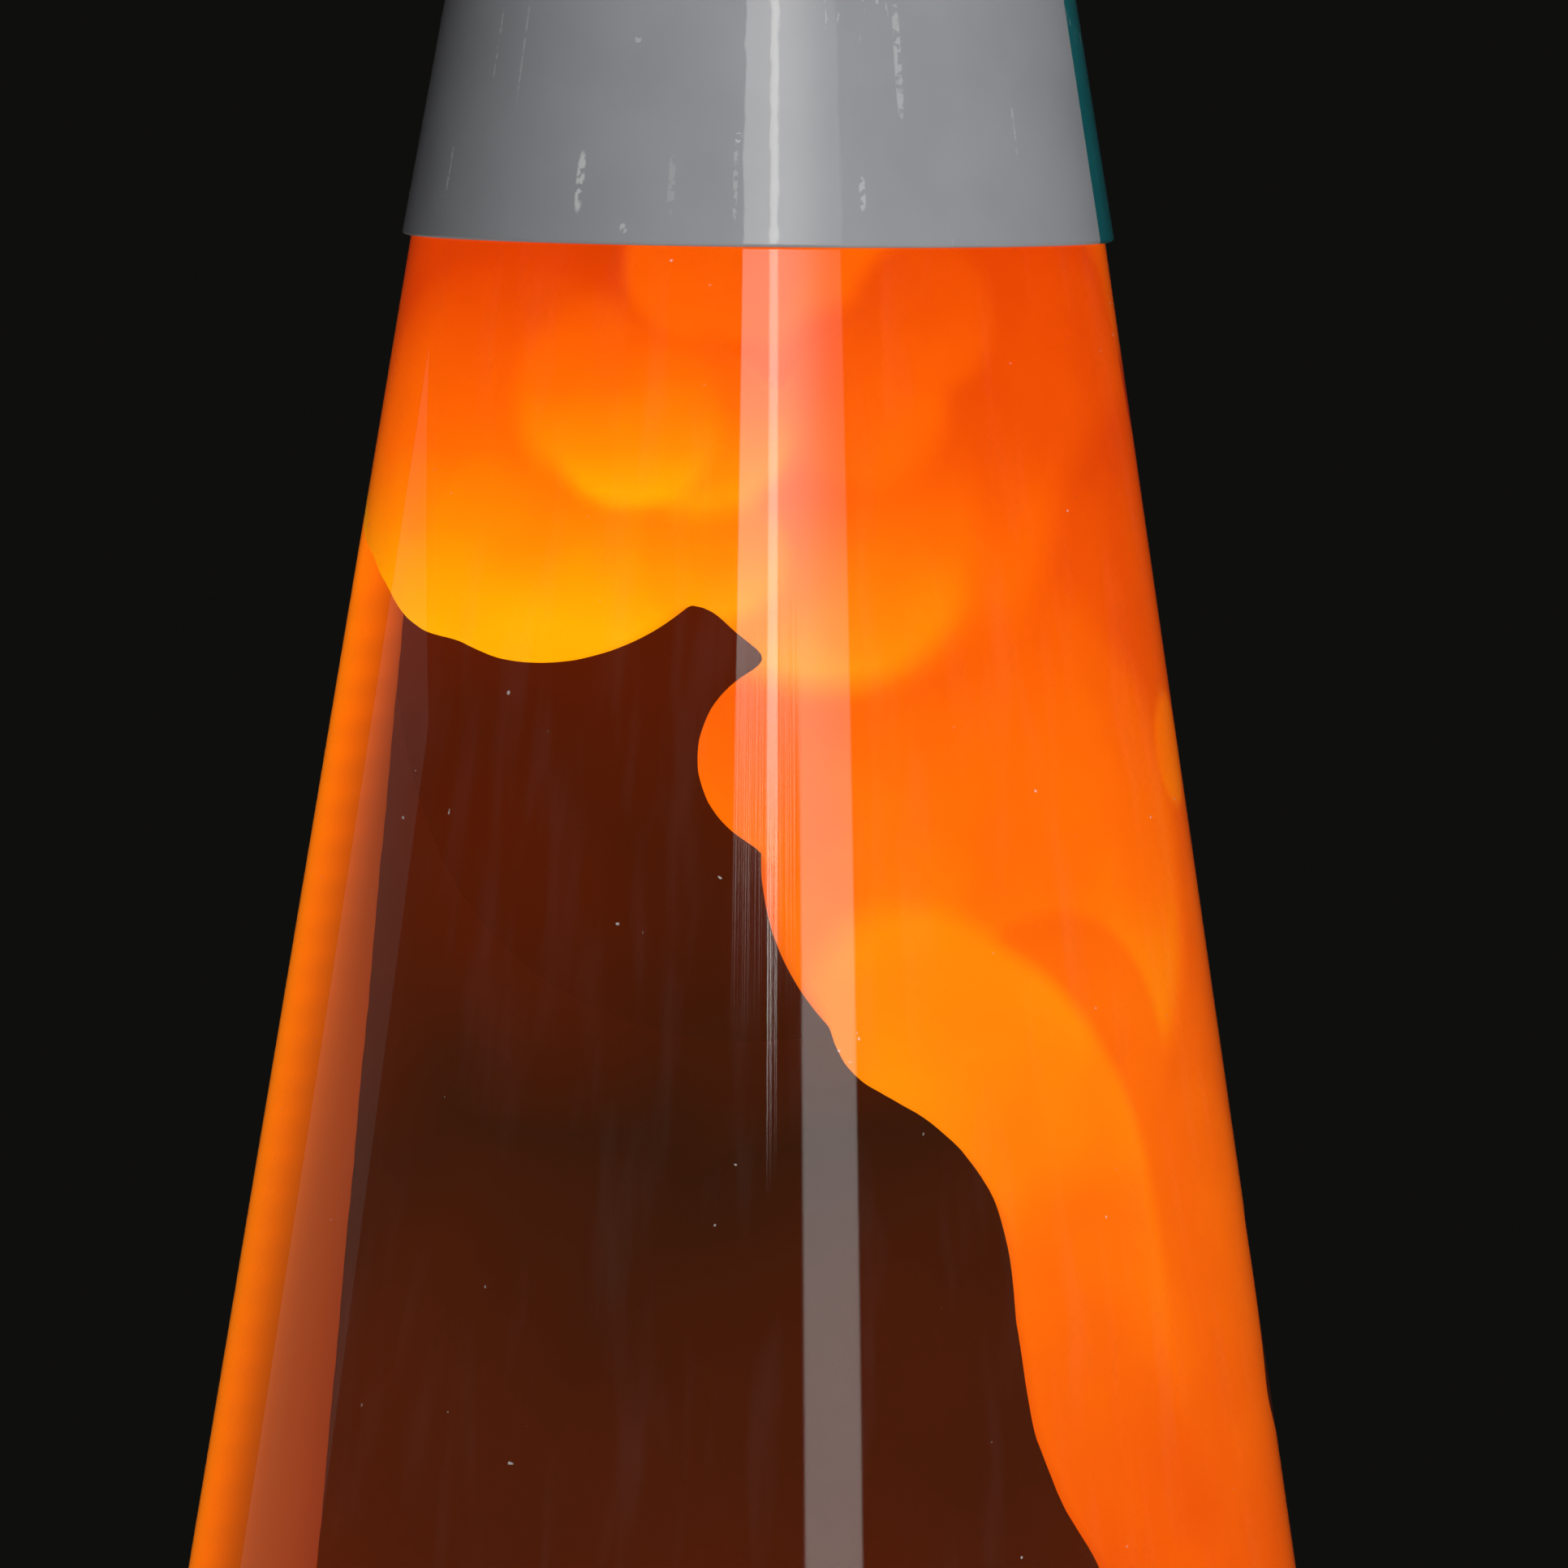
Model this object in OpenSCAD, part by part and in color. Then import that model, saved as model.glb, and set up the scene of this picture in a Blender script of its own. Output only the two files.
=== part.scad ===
// Lava lamp: a sealed glass globe of liquid and wax stands in an hourglass base that
// hides the bulb, under a conical cap. Millimetres, +Z up. The origin is on the table,
// on the lamp's axis. The cord's outlet is at the back, towards +Y.

/* [Cap] */
// Height of the top of the cap above the table
cap_top_z = 414; // [413:0.5:418]
// Height of the cap's rim above the table
cap_rim_z = 341; // [339:0.5:342]
// Outer radius of the cap at its rim
cap_r = 35.5; // [35.5:0.1:36.5]
// How much the cap narrows for each millimetre of height
cap_slope = 0.1735; // [0.165:0.0005:0.18]
// Thickness of the cap's sheet
cap_t = 0.55; // [0.45:0.05:0.6]
// Radius of the rounded edge round the cap's top
cap_edge_r = 3.2; // [2:0.1:4]

/* [Globe] */
// Outer radius of the glass at the height of the cap's rim
globe_r = 34.55; // [34.3:0.05:34.55]
// How much the globe widens for each millimetre downwards
globe_slope = 0.158; // [0.156:0.001:0.159]
// Thickness of the globe's wall
glass_t = 3; // [2.5:0.1:3.5]
// Height of the underside of the globe above the table
globe_bottom_z = 126; // [124:0.5:130]
// Height of the globe's mouth above the table
mouth_z = 405; // [404:0.5:406]
// Radius of the bore through the mouth
mouth_bore_r = 8; // [7.5:0.1:8.5]
// Height of the liquid's surface above the table
level_z = 380; // [372:1:386]
// Radius of the ring that the heating coil is bent into
coil_ring_r = 24; // [22:0.5:26]
// Number of turns of the heating coil
coil_turns = 36; // [24:1:40]

/* [Base] */
// Height of the base's rim above the table
base_rim_z = 186; // [184:0.5:187]
// How much the upper flare widens for each millimetre of height
flare_slope = 0.31; // [0.305:0.001:0.31]
// Height of the waist above the table
waist_z = 108; // [106:0.5:110]
// Radius of the curve at the waist
waist_curve_r = 16; // [10:1:20]
// Outer radius of the base's lower edge, bead included
foot_edge_r = 68.5; // [67.5:0.5:70]
// Thickness of the base's sheet
base_t = 1; // [0.8:0.1:1.2]
// Thickness of the bottom plate
plate_t = 1.2; // [1:0.1:1.5]
// Radius of the circle that the feet stand on
foot_circle_r = 51; // [48:1:53]
// Height of the feet
foot_h = 6; // [5.5:0.5:7]
// Radius of each foot
foot_r = 7; // [6:0.5:8]

/* [Cord outlet] */
// Height of the outlet's centre above the table
outlet_z = 22; // [21:0.5:26]
// Radius of the bore that the cord runs through
outlet_bore_r = 3.8; // [3:0.1:4]

/* [Socket and bulb] */
// Outer radius of the socket's body
socket_r = 18.5; // [17.5:0.5:20]
// Height of the top of the socket's body above the table
socket_top_z = 46; // [44:0.5:47]
// Height of the bulb's lower contact above the table
bulb_z = 17.3; // [17.3:0.1:17.8]
// Overall length of the bulb
bulb_length = 89; // [84:0.5:92]
// Radius of the bulb's glass at its widest
bulb_r = 23.8; // [22:0.2:25]
// Outer radius of the bulb's thread
thread_r = 13.1; // [12.9:0.05:13.15]
// Distance between two turns of the bulb's thread
thread_pitch = 3.63; // [3.5:0.01:3.7]

/* [Hidden] */
$fn = 96;
TINY = 0.01;

// Clearances
// Between the globe and the base's flare, measured level
globe_gap = 0.4;
// Between two pieces that are fixed together
seat_gap = 0.05;
// Between two pieces that move apart
free_gap = 0.3;

// Globe's widest line, just under the base's rim
widest_z = base_rim_z - 2.5;
widest_r = globe_r + globe_slope * (cap_rim_z - widest_z);

// Base
rim_curl_r = 0.6;                          // inside radius of the beads on both edges
edge_curl_r = rim_curl_r + base_t;         // outside radius of the same beads
shell_low_z = 2.5;                         // lowest point of the base's sheet
cone_low_z = shell_low_z + base_t;
cone_low_r = foot_edge_r - base_t - 2 * rim_curl_r;
base_rim_r = widest_r + flare_slope * (base_rim_z - widest_z) + globe_gap + base_t * norm([1, flare_slope]);
waist_r = base_rim_r - flare_slope * (base_rim_z - waist_z);
lower_slope = (cone_low_r - waist_r) / (waist_z - cone_low_z);
shell_tilt = atan(lower_slope);            // how far the lower cone leans from upright
plate_z = foot_h;
plate_top_z = plate_z + plate_t;
plate_wall_top_z = plate_z + 8;
screw_z = plate_z + 5;
screw_angles = [30, 150, 270];
foot_angles = [45, 135, 225, 315];
foot_stem_r = 2.6;
grommet_neck_r = 5.5;                      // where the grommet passes through the sheet
grommet_out = 2.2;                         // how far it stands out of the sheet
grommet_in = 3.4;                          // how deep it reaches behind the sheet's face
vent_count = 16;
vent_r = 32;
vent_length = 14;
vent_w = 4;

// Lamp pipe and its nuts
pipe_r = 5;
pipe_bore_r = 3.6;
pipe_low_z = plate_z - 4.2;
pipe_top_z = 14.4;
nut_flats = 14;
nut_low_h = 3.2;
washer_t = 0.9;
nut_high_h = 2.8;

// Socket
socket_z = 12.2;
socket_floor_z = 15.2;
socket_bore_r = 15.3;
socket_shell_t = 0.4;
socket_shell_low_z = 20;
socket_shell_top_z = socket_top_z - 1.5;
terminal_angles = [0, 180];
terminal_z = 25;
terminal_t = 0.8;

// Bulb
thread_depth = 1;
thread_mean_r = thread_r - thread_depth / 2;
screw_shell_low_z = bulb_z + 6;
screw_shell_top_z = bulb_z + 27;
screw_shell_t = 0.3;
envelope_t = 0.6;
neck_r = thread_r - thread_depth - screw_shell_t - free_gap;
bulb_top_z = bulb_z + bulb_length;
stem_top_z = bulb_z + 46;
filament_z = bulb_z + 62;
filament_r = 9.5;
filament_wire_r = 0.42;

// Globe
shoulder_z = cap_rim_z + 11;
shoulder_r = globe_r - globe_slope * (shoulder_z - cap_rim_z);
bottle_neck_r = 12.8;
neck_low_z = mouth_z - 27;
seat_r = widest_r - flare_slope * (widest_z - globe_bottom_z);
floor_z = globe_bottom_z + glass_t + 1;
wall_run = glass_t * norm([1, globe_slope]);
seat_run = glass_t * norm([1, flare_slope]);
bead_r = 13.3;                             // outer radius of the mouth's upper bead
coil_wire_r = 0.7;
coil_turn_r = 4.4;
coil_z = floor_z + coil_turn_r + coil_wire_r + seat_gap;

// Crown closure
liner_t = 0.9;
liner_r = 12.4;
crown_t = 0.35;
crown_h = 6;
crown_r = 14.5;
crown_flutes = 21;
crown_top_z = mouth_z + liner_t + crown_t;

// Wax, as balls [x, y, z, radius] that the globe's wall trims
wax_balls = [
    [0, 2, 333, 39],
    [27, 0, 268, 31],
    [40, 2, 222, 23],
    [10, 30, 236, 15],
    [-14, 18, 214, 11]
];

// ---- Outlines: a path is a list of [x, y, corner radius] ----

function flat(p) = [p.x, p.y];
function unit(v) = v / norm(v);
function left_of(u) = [-u.y, u.x];
function reversed(list) = [for (i = [len(list) - 1:-1:0]) list[i]];

// The arc of radius r that rounds the corner at b, on the way from a to c
function corner(a, b, c, r, steps) =
    r == 0 ? [b] :
    let (
        u = unit(a - b),
        v = unit(c - b),
        half = acos(u * v) / 2,
        centre = b + unit(u + v) * r / sin(half),
        from = b + u * r / tan(half) - centre,
        to = b + v * r / tan(half) - centre,
        start = atan2(from.y, from.x),
        sweep = (atan2(to.y, to.x) - start + 540) % 360 - 180
    )
    [for (i = [0:steps]) let (t = start + sweep * i / steps) centre + r * [cos(t), sin(t)]];

// A path's points with every corner rounded; its two ends stay as they are
function rounded(path, steps = 8) = [
    for (i = [0:len(path) - 1])
        each i == 0 || i == len(path) - 1
            ? [flat(path[i])]
            : corner(flat(path[i - 1]), flat(path[i]), flat(path[i + 1]), path[i].z, steps)
];

// The same path moved by t to its left, with each corner's radius changed to match
function shifted(path, t) = [
    for (i = [0:len(path) - 1])
        let (
            first = i == 0,
            last = i == len(path) - 1,
            before = first ? undef : unit(flat(path[i]) - flat(path[i - 1])),
            after = last ? undef : unit(flat(path[i + 1]) - flat(path[i])),
            n1 = left_of(first ? after : before),
            n2 = left_of(last ? before : after),
            moved = flat(path[i]) + (n1 + n2) * t / (1 + n1 * n2),
            turn = first || last ? 0 : sign(cross(before, after)),
            r = first || last || path[i].z == 0 ? 0 : max(0, path[i].z - turn * t)
        )
        [moved.x, moved.y, r]
];

// The half round that closes a sheet's edge: from p, bulging along u, over to the side n
function edge_round(p, n, u, t, steps = 6) =
    [for (i = [1:steps - 1]) let (a = 180 * i / steps) p + t / 2 * (n * (1 - cos(a)) + u * sin(a))];

// The outline of a sheet of thickness t on the left of a path. Its far edge is rounded,
// and so is its near one unless that lies on the axis.
function sheet(path, t, steps = 8) =
    let (
        face = rounded(path, steps),
        back = rounded(shifted(path, t), steps),
        last = len(path) - 1,
        u_near = unit(flat(path[1]) - flat(path[0])),
        u_far = unit(flat(path[last]) - flat(path[last - 1])),
        near_end = path[0].x == 0 ? [] : edge_round(back[0], -left_of(u_near), -u_near, t),
        far_end = path[last].x == 0 ? [] : edge_round(face[len(face) - 1], left_of(u_far), u_far, t)
    )
    concat(face, far_end, reversed(back), near_end);

module turned(points) {
    rotate_extrude($fn = 180) polygon(points);
}

// A straight round rod from p to q
module rod(p, q, r) {
    v = q - p;
    translate(p)
        rotate([0, acos(v.z / norm(v)), atan2(v.y, v.x)])
            cylinder(h = norm(v), r = r, $fn = 24);
}

// A ring of round wire
module wire_ring(ring_r, wire_r) {
    rotate_extrude($fn = 48) translate([ring_r, 0]) circle(r = wire_r, $fn = 24);
}

// ---- Base ----

function cone_r(z) = cone_low_r - lower_slope * (z - cone_low_z);
function cone_inside_r(z) = cone_r(z) - base_t / cos(shell_tilt);

// Places children on the base's lower cone: local +Z points straight out of the sheet
module on_cone(angle, z) {
    rotate([0, 0, angle])
        translate([cone_r(z), 0, z])
            rotate([0, 90 - shell_tilt, 0])
                children();
}

module base_shell() {
    rim_path_z = base_rim_z - base_t;
    curl_w = 2 * rim_curl_r;
    path = [
        [cone_low_r + curl_w, cone_low_z + edge_curl_r, 0],
        [cone_low_r + curl_w, cone_low_z, rim_curl_r],
        [cone_low_r, cone_low_z, rim_curl_r],
        [waist_r, waist_z, waist_curve_r],
        [base_rim_r, rim_path_z, rim_curl_r],
        [base_rim_r + curl_w, rim_path_z, rim_curl_r],
        [base_rim_r + curl_w, rim_path_z - edge_curl_r, 0]
    ];
    color([0.5, 0.5, 0.52])
        difference() {
            turned(sheet(path, base_t, 12));
            for (angle = screw_angles)
                on_cone(angle, screw_z) cylinder(h = 6, r = 1.6, center = true);
            on_cone(90, outlet_z) cylinder(h = 8, r = grommet_neck_r + seat_gap, center = true);
        }
}

module vent_slot() {
    translate([vent_r, 0, plate_z - 1])
        linear_extrude(plate_t + 2) {
            square([vent_length, vent_w], center = true);
            for (end = [-1, 1])
                translate([end * vent_length / 2, 0]) circle(r = vent_w / 2);
        }
}

module bottom_plate() {
    wall_low_r = cone_inside_r(plate_z) - free_gap;
    wall_top_r = cone_inside_r(plate_wall_top_z) - free_gap;
    path = [
        [pipe_r + free_gap + plate_t / 2, plate_z, 0],
        [wall_low_r, plate_z, 2.4],
        [wall_top_r, plate_wall_top_z, 0]
    ];
    color([0.16, 0.16, 0.17])
        difference() {
            turned(sheet(path, plate_t));
            for (i = [0:vent_count - 1])
                rotate([0, 0, (i + 0.5) * 360 / vent_count]) vent_slot();
            for (angle = foot_angles)
                rotate([0, 0, angle])
                    translate([foot_circle_r, 0, plate_z - 1])
                        cylinder(h = plate_t + 2, r = foot_stem_r + seat_gap);
            for (angle = screw_angles)
                on_cone(angle, screw_z) cylinder(h = 12, r = 1.5, center = true);
        }
}

// A rubber foot whose stem is pulled through the plate and holds by its head
module foot(angle) {
    profile = rounded([
        [0, 0, 0],
        [foot_r - 0.6, 0, 0.8],
        [foot_r, plate_z, 0.5],
        [foot_stem_r, plate_z, 0],
        [foot_stem_r, plate_top_z, 0],
        [foot_stem_r + 1.2, plate_top_z, 0.3],
        [foot_stem_r + 0.2, plate_top_z + 3, 0.8],
        [0, plate_top_z + 3.4, 0]
    ], 4);
    color([0.06, 0.06, 0.06])
        rotate([0, 0, angle])
            translate([foot_circle_r, 0, 0])
                turned(profile);
}

module foot_1() { foot(foot_angles[0]); }
module foot_2() { foot(foot_angles[1]); }
module foot_3() { foot(foot_angles[2]); }
module foot_4() { foot(foot_angles[3]); }

// One pan-head screw with a cross recess
module pan_head_screw(head_r, head_h, shank_r, shank_length) {
    recess_w = head_r * 0.3;
    head = rounded([
        [0, 0, 0],
        [head_r, 0, 0.1],
        [head_r * 0.94, head_h, head_h * 0.6],
        [0, head_h, 0]
    ], 5);
    difference() {
        union() {
            translate([0, 0, seat_gap]) turned(head);
            translate([0, 0, -shank_length]) cylinder(h = shank_length + head_h / 2, r = shank_r);
        }
        for (turn = [0, 90])
            rotate([0, 0, turn])
                translate([0, 0, head_h])
                    cube([head_r * 1.1, recess_w, head_h], center = true);
    }
}

module plate_screws() {
    color([0.7, 0.7, 0.72])
        for (angle = screw_angles)
            on_cone(angle, screw_z) pan_head_screw(3, 1.8, 1.45, 6);
}

module cord_grommet() {
    neck_in = base_t + 0.6;
    inner_flange_r = grommet_neck_r + 1.6;
    profile = rounded([
        [outlet_bore_r, -grommet_in, 0],
        [inner_flange_r - 0.4, -grommet_in, 0.4],
        [inner_flange_r, -neck_in, 0.3],
        [grommet_neck_r, -neck_in, 0],
        [grommet_neck_r, seat_gap, 0],
        [grommet_neck_r + 2, seat_gap, 0.3],
        [grommet_neck_r + 1.2, grommet_out, 1],
        [outlet_bore_r, grommet_out, 0]
    ], 4);
    color([0.06, 0.06, 0.06])
        on_cone(90, outlet_z) turned(profile);
}

// ---- Lamp pipe and its nuts ----

module lamp_pipe() {
    color([0.75, 0.6, 0.3])
        difference() {
            translate([0, 0, pipe_low_z]) cylinder(h = pipe_top_z - pipe_low_z, r = pipe_r);
            translate([0, 0, pipe_low_z - 1]) cylinder(h = pipe_top_z - pipe_low_z + 2, r = pipe_bore_r);
        }
}

// A hex nut with its corners turned down to a bevel
module hex_nut(low_z, h) {
    corner_r = nut_flats / 2 / cos(30);
    bevel = 0.5;
    difference() {
        intersection() {
            translate([0, 0, low_z]) cylinder(h = h, r = corner_r, $fn = 6);
            turned([
                [0, low_z], [corner_r - bevel, low_z], [corner_r, low_z + bevel],
                [corner_r, low_z + h - bevel], [corner_r - bevel, low_z + h], [0, low_z + h]
            ]);
        }
        translate([0, 0, low_z - 1]) cylinder(h = h + 2, r = pipe_r + seat_gap);
    }
}

module lock_nut_lower() {
    color([0.7, 0.7, 0.72]) hex_nut(plate_z - nut_low_h, nut_low_h);
}

module lock_nut_upper() {
    color([0.7, 0.7, 0.72]) hex_nut(plate_top_z + washer_t, nut_high_h);
}

// A toothed washer: a flat ring with notches round its edge
module lock_washer() {
    washer_r = 9;
    teeth = 12;
    color([0.6, 0.6, 0.62])
        difference() {
            translate([0, 0, plate_top_z]) cylinder(h = washer_t, r = washer_r);
            translate([0, 0, plate_top_z - 1]) cylinder(h = washer_t + 2, r = pipe_r + seat_gap);
            for (i = [0:teeth - 1])
                rotate([0, 0, i * 360 / teeth])
                    translate([washer_r + 0.4, 0, plate_top_z - 1])
                        cylinder(h = washer_t + 2, r = 1.2, $fn = 24);
        }
}

// ---- Socket ----

// The wavy side of a rolled thread, from z0 up to z1, as [radius, z]
function thread_side(mean_r, z0, z1, steps = 56) = [
    for (i = [0:steps])
        let (z = z0 + (z1 - z0) * i / steps)
        [mean_r + thread_depth / 2 * cos(360 * (z - bulb_z) / thread_pitch), z]
];

function moved_out(points, d) = [for (p = points) [p.x + d, p.y]];

module socket_body() {
    lip_z = socket_top_z - 3;
    profile = concat(
        rounded([
            [pipe_r + seat_gap, socket_z, 0],
            [socket_r - 2.5, socket_z, 1.5],
            [socket_r - 1, socket_floor_z + 6, 2],
            [socket_r - 1, lip_z - 2, 1],
            [socket_r, lip_z, 1],
            [socket_r, socket_top_z, 1],
            [socket_bore_r, socket_top_z, 0]
        ], 4),
        [[socket_bore_r, socket_floor_z], [pipe_r + seat_gap, socket_floor_z]]
    );
    color([0.92, 0.9, 0.85])
        difference() {
            turned(profile);
            for (angle = terminal_angles)
                rotate([0, 0, angle]) {
                    translate([socket_r - 2, -4.5, terminal_z - 5]) cube([8, 9, 10]);
                    translate([socket_bore_r - 1, 0, terminal_z])
                        rotate([0, 90, 0]) cylinder(h = 6, r = 1.3);
                }
        }
}

module socket_screw_shell() {
    mean_r = thread_mean_r + thread_depth / 2 + free_gap + thread_depth / 2;
    side = thread_side(mean_r, socket_shell_low_z, socket_shell_top_z);
    color([0.8, 0.65, 0.3])
        turned(concat(moved_out(side, socket_shell_t), reversed(side)));
}

// A springy strip across the socket's floor, arched up to meet the bulb's contact
module socket_centre_contact() {
    strip_t = 0.5;
    strip_w = 6;
    foot_x = 12;
    low_z = socket_floor_z + seat_gap;
    high_z = bulb_z - free_gap - strip_t;
    path = [
        [-foot_x, low_z + strip_t, 0],
        [-foot_x + 5, low_z + strip_t, 0.8],
        [-3, high_z + strip_t, 0.8],
        [3, high_z + strip_t, 0]
    ];
    outline = concat(rounded(path, 4), reversed(rounded(shifted(path, -strip_t), 4)));
    color([0.8, 0.65, 0.3])
        difference() {
            translate([0, strip_w / 2, 0])
                rotate([90, 0, 0]) linear_extrude(strip_w) polygon(outline);
            translate([0, 0, low_z - 1]) cylinder(h = 0.9, r = pipe_r);
        }
}

module socket_terminals() {
    color([0.8, 0.65, 0.3])
        for (angle = terminal_angles)
            rotate([0, 0, angle])
                difference() {
                    translate([socket_r - 2 + seat_gap, -4, terminal_z - 4.5]) cube([terminal_t, 8, 9]);
                    translate([socket_r - 4, 0, terminal_z])
                        rotate([0, 90, 0]) cylinder(h = 8, r = 1.4);
                }
}

module socket_terminal_screws() {
    seat_x = socket_r - 2 + seat_gap + terminal_t;
    color([0.75, 0.75, 0.77])
        for (angle = terminal_angles)
            rotate([0, 0, angle])
                translate([seat_x, 0, terminal_z])
                    rotate([0, 90, 0]) pan_head_screw(2.8, 1.6, 1.25, 2.4);
}

// ---- Bulb ----

module bulb_envelope() {
    centre_z = bulb_top_z - bulb_r;
    path = [
        [neck_r, screw_shell_low_z + 9, 0],
        [neck_r, screw_shell_top_z + 3, 10],
        [bulb_r, centre_z - 7, 20],
        [bulb_r, bulb_top_z, bulb_r - TINY],
        [0, bulb_top_z, 0]
    ];
    color([1, 0.97, 0.9, 0.35])
        turned(sheet(path, envelope_t, 12));
}

module bulb_screw_shell() {
    side = thread_side(thread_mean_r, screw_shell_low_z, screw_shell_top_z);
    color([0.8, 0.8, 0.82])
        turned(concat(side, reversed(moved_out(side, -screw_shell_t))));
}

module bulb_insulator() {
    top_r = thread_r - thread_depth - screw_shell_t - seat_gap;
    profile = rounded([
        [4.7, bulb_z + 1.4, 0],
        [6.2, bulb_z + 1.4, 0.6],
        [top_r, screw_shell_low_z - 0.6, 0.8],
        [top_r, screw_shell_low_z + 2.4, 0],
        [8, screw_shell_low_z + 2.4, 0.8],
        [4.7, bulb_z + 3.4, 0]
    ], 4);
    color([0.05, 0.05, 0.06]) turned(profile);
}

module bulb_contact() {
    profile = rounded([
        [0, bulb_z, 0],
        [3.2, bulb_z, 1],
        [4.6, bulb_z + 1.2, 0.5],
        [4.6, bulb_z + 3.2, 0],
        [0, bulb_z + 3.2, 0]
    ], 4);
    color([0.75, 0.72, 0.68]) turned(profile);
}

// The flared glass tube inside the neck, drawn out to a flat press that holds the wires
module bulb_stem() {
    flare_z = screw_shell_low_z + 12;
    outer = rounded([
        [neck_r - envelope_t - free_gap, flare_z, 0],
        [3.4, flare_z + 6, 4],
        [3.4, stem_top_z - 9, 2],
        [1.6, stem_top_z - 5, 2],
        [1.6, stem_top_z, 1.2],
        [0, stem_top_z, 0]
    ], 5);
    inner = rounded([
        [neck_r - envelope_t - free_gap - 0.8, flare_z, 0],
        [2.4, flare_z + 5.4, 3],
        [2.4, stem_top_z - 12, 1.5],
        [0, stem_top_z - 11, 0]
    ], 5);
    color([0.9, 0.95, 0.95, 0.4]) turned(concat(outer, reversed(inner)));
}

module bulb_lead_wires() {
    color([0.7, 0.6, 0.5])
        for (side = [-1, 1])
            rod(
                [side * 2.4, 0, stem_top_z - 6],
                [side * filament_r, 0, filament_z - filament_wire_r - seat_gap],
                0.3
            );
}

// Two wires that stand on the press and hold up the filament between the lead wires
module bulb_support_wires() {
    color([0.6, 0.6, 0.62])
        for (angle = [235, 305])
            rotate([0, 0, angle])
                rod(
                    [1, 0, stem_top_z],
                    [filament_r, 0, filament_z - filament_wire_r - 0.2 - seat_gap],
                    0.2
                );
}

// The filament hangs in a half ring from one lead wire round to the other
module bulb_filament() {
    color([0.9, 0.75, 0.5])
        translate([0, 0, filament_z])
            rotate([0, 0, 180])
                rotate_extrude(angle = 180, $fn = 96)
                    translate([filament_r, 0]) circle(r = filament_wire_r, $fn = 24);
}

// ---- Globe ----

// The outside of the glass, from the middle of its underside up to its mouth
globe_outside = [
    [0, globe_bottom_z + 2.5, 0],
    [seat_r - 16, globe_bottom_z + 2.5, 6],
    [seat_r - 10, globe_bottom_z, 3],
    [seat_r, globe_bottom_z, 5],
    [widest_r, widest_z, 6],
    [shoulder_r, shoulder_z, 20],
    [bottle_neck_r, neck_low_z, 8],
    [bottle_neck_r, mouth_z - 13, 1],
    [bead_r + 0.6, mouth_z - 12, 0.8],
    [bead_r + 0.6, mouth_z - 8.6, 0.8],
    [bead_r - 1.1, mouth_z - 7, 0.8],
    [bead_r - 1.1, mouth_z - 4.4, 0.6],
    [bead_r, mouth_z - 3.4, 0.6],
    [bead_r, mouth_z, 1.6],
    [mouth_bore_r, mouth_z, 0]
];

// The space inside the glass, from the middle of its floor up to its mouth
globe_inside = [
    [0, floor_z, 0],
    [seat_r - seat_run + flare_slope * (floor_z - globe_bottom_z), floor_z, 4],
    [widest_r - (wall_run + seat_run) / 2, widest_z, 5],
    [shoulder_r - wall_run, shoulder_z - 1, 17],
    [bottle_neck_r - glass_t, neck_low_z - 1.5, 10],
    [bottle_neck_r - glass_t, mouth_z - 17, 4],
    [mouth_bore_r, mouth_z - 12, 4],
    [mouth_bore_r, mouth_z, 0]
];

module bottle() {
    color([0.9, 0.95, 0.95, 0.3])
        turned(concat(rounded(globe_outside), reversed(rounded(globe_inside))));
}

// The space that the contents fill, up to height z
module contents(z) {
    space = concat(rounded(shifted(globe_inside, seat_gap)), [[0, mouth_z]]);
    intersection() {
        turned(space);
        cylinder(h = z, r = widest_r);
    }
}

module wax_mass(grow) {
    for (ball = wax_balls)
        translate([ball[0], ball[1], ball[2]]) sphere(r = ball[3] + grow);
}

module wax() {
    color([1, 0.45, 0.02])
        intersection() {
            contents(level_z);
            wax_mass(0);
        }
}

module liquid() {
    color([0.45, 0.16, 0.03, 0.5])
        difference() {
            contents(level_z);
            wax_mass(seat_gap);
            translate([0, 0, coil_z])
                rotate_extrude()
                    translate([coil_ring_r, 0])
                        circle(r = coil_turn_r + coil_wire_r + seat_gap / 2);
        }
}

// A wire coil bent into a ring on the globe's floor, drawn as its separate turns
module heating_coil() {
    color([0.75, 0.72, 0.65])
        for (i = [0:coil_turns - 1])
            rotate([0, 0, i * 360 / coil_turns])
                translate([coil_ring_r, 0, coil_z])
                    rotate([90, 0, 0]) wire_ring(coil_turn_r, coil_wire_r);
}

// A crown closure: a shallow steel cup whose fluted skirt is crimped under the bead
module crown_cap() {
    top_z = crown_top_z;
    low_z = crown_top_z - crown_h;
    path = [
        [crown_r, low_z, 0],
        [bead_r + seat_gap + crown_t, low_z + 3.2, 1.5],
        [bead_r + seat_gap + crown_t, top_z, 1.2],
        [0, top_z, 0]
    ];
    flute_r = 1.1;
    color([0.75, 0.65, 0.35])
        difference() {
            turned(sheet(path, crown_t));
            for (i = [0:crown_flutes - 1])
                rotate([0, 0, i * 360 / crown_flutes])
                    translate([crown_r + flute_r * 0.55, 0, low_z - 1])
                        cylinder(h = 3.4, r = flute_r, $fn = 24);
        }
}

module crown_liner() {
    color([0.85, 0.85, 0.8])
        translate([0, 0, mouth_z]) cylinder(h = liner_t - TINY, r = liner_r);
}

// ---- Cap ----

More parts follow.
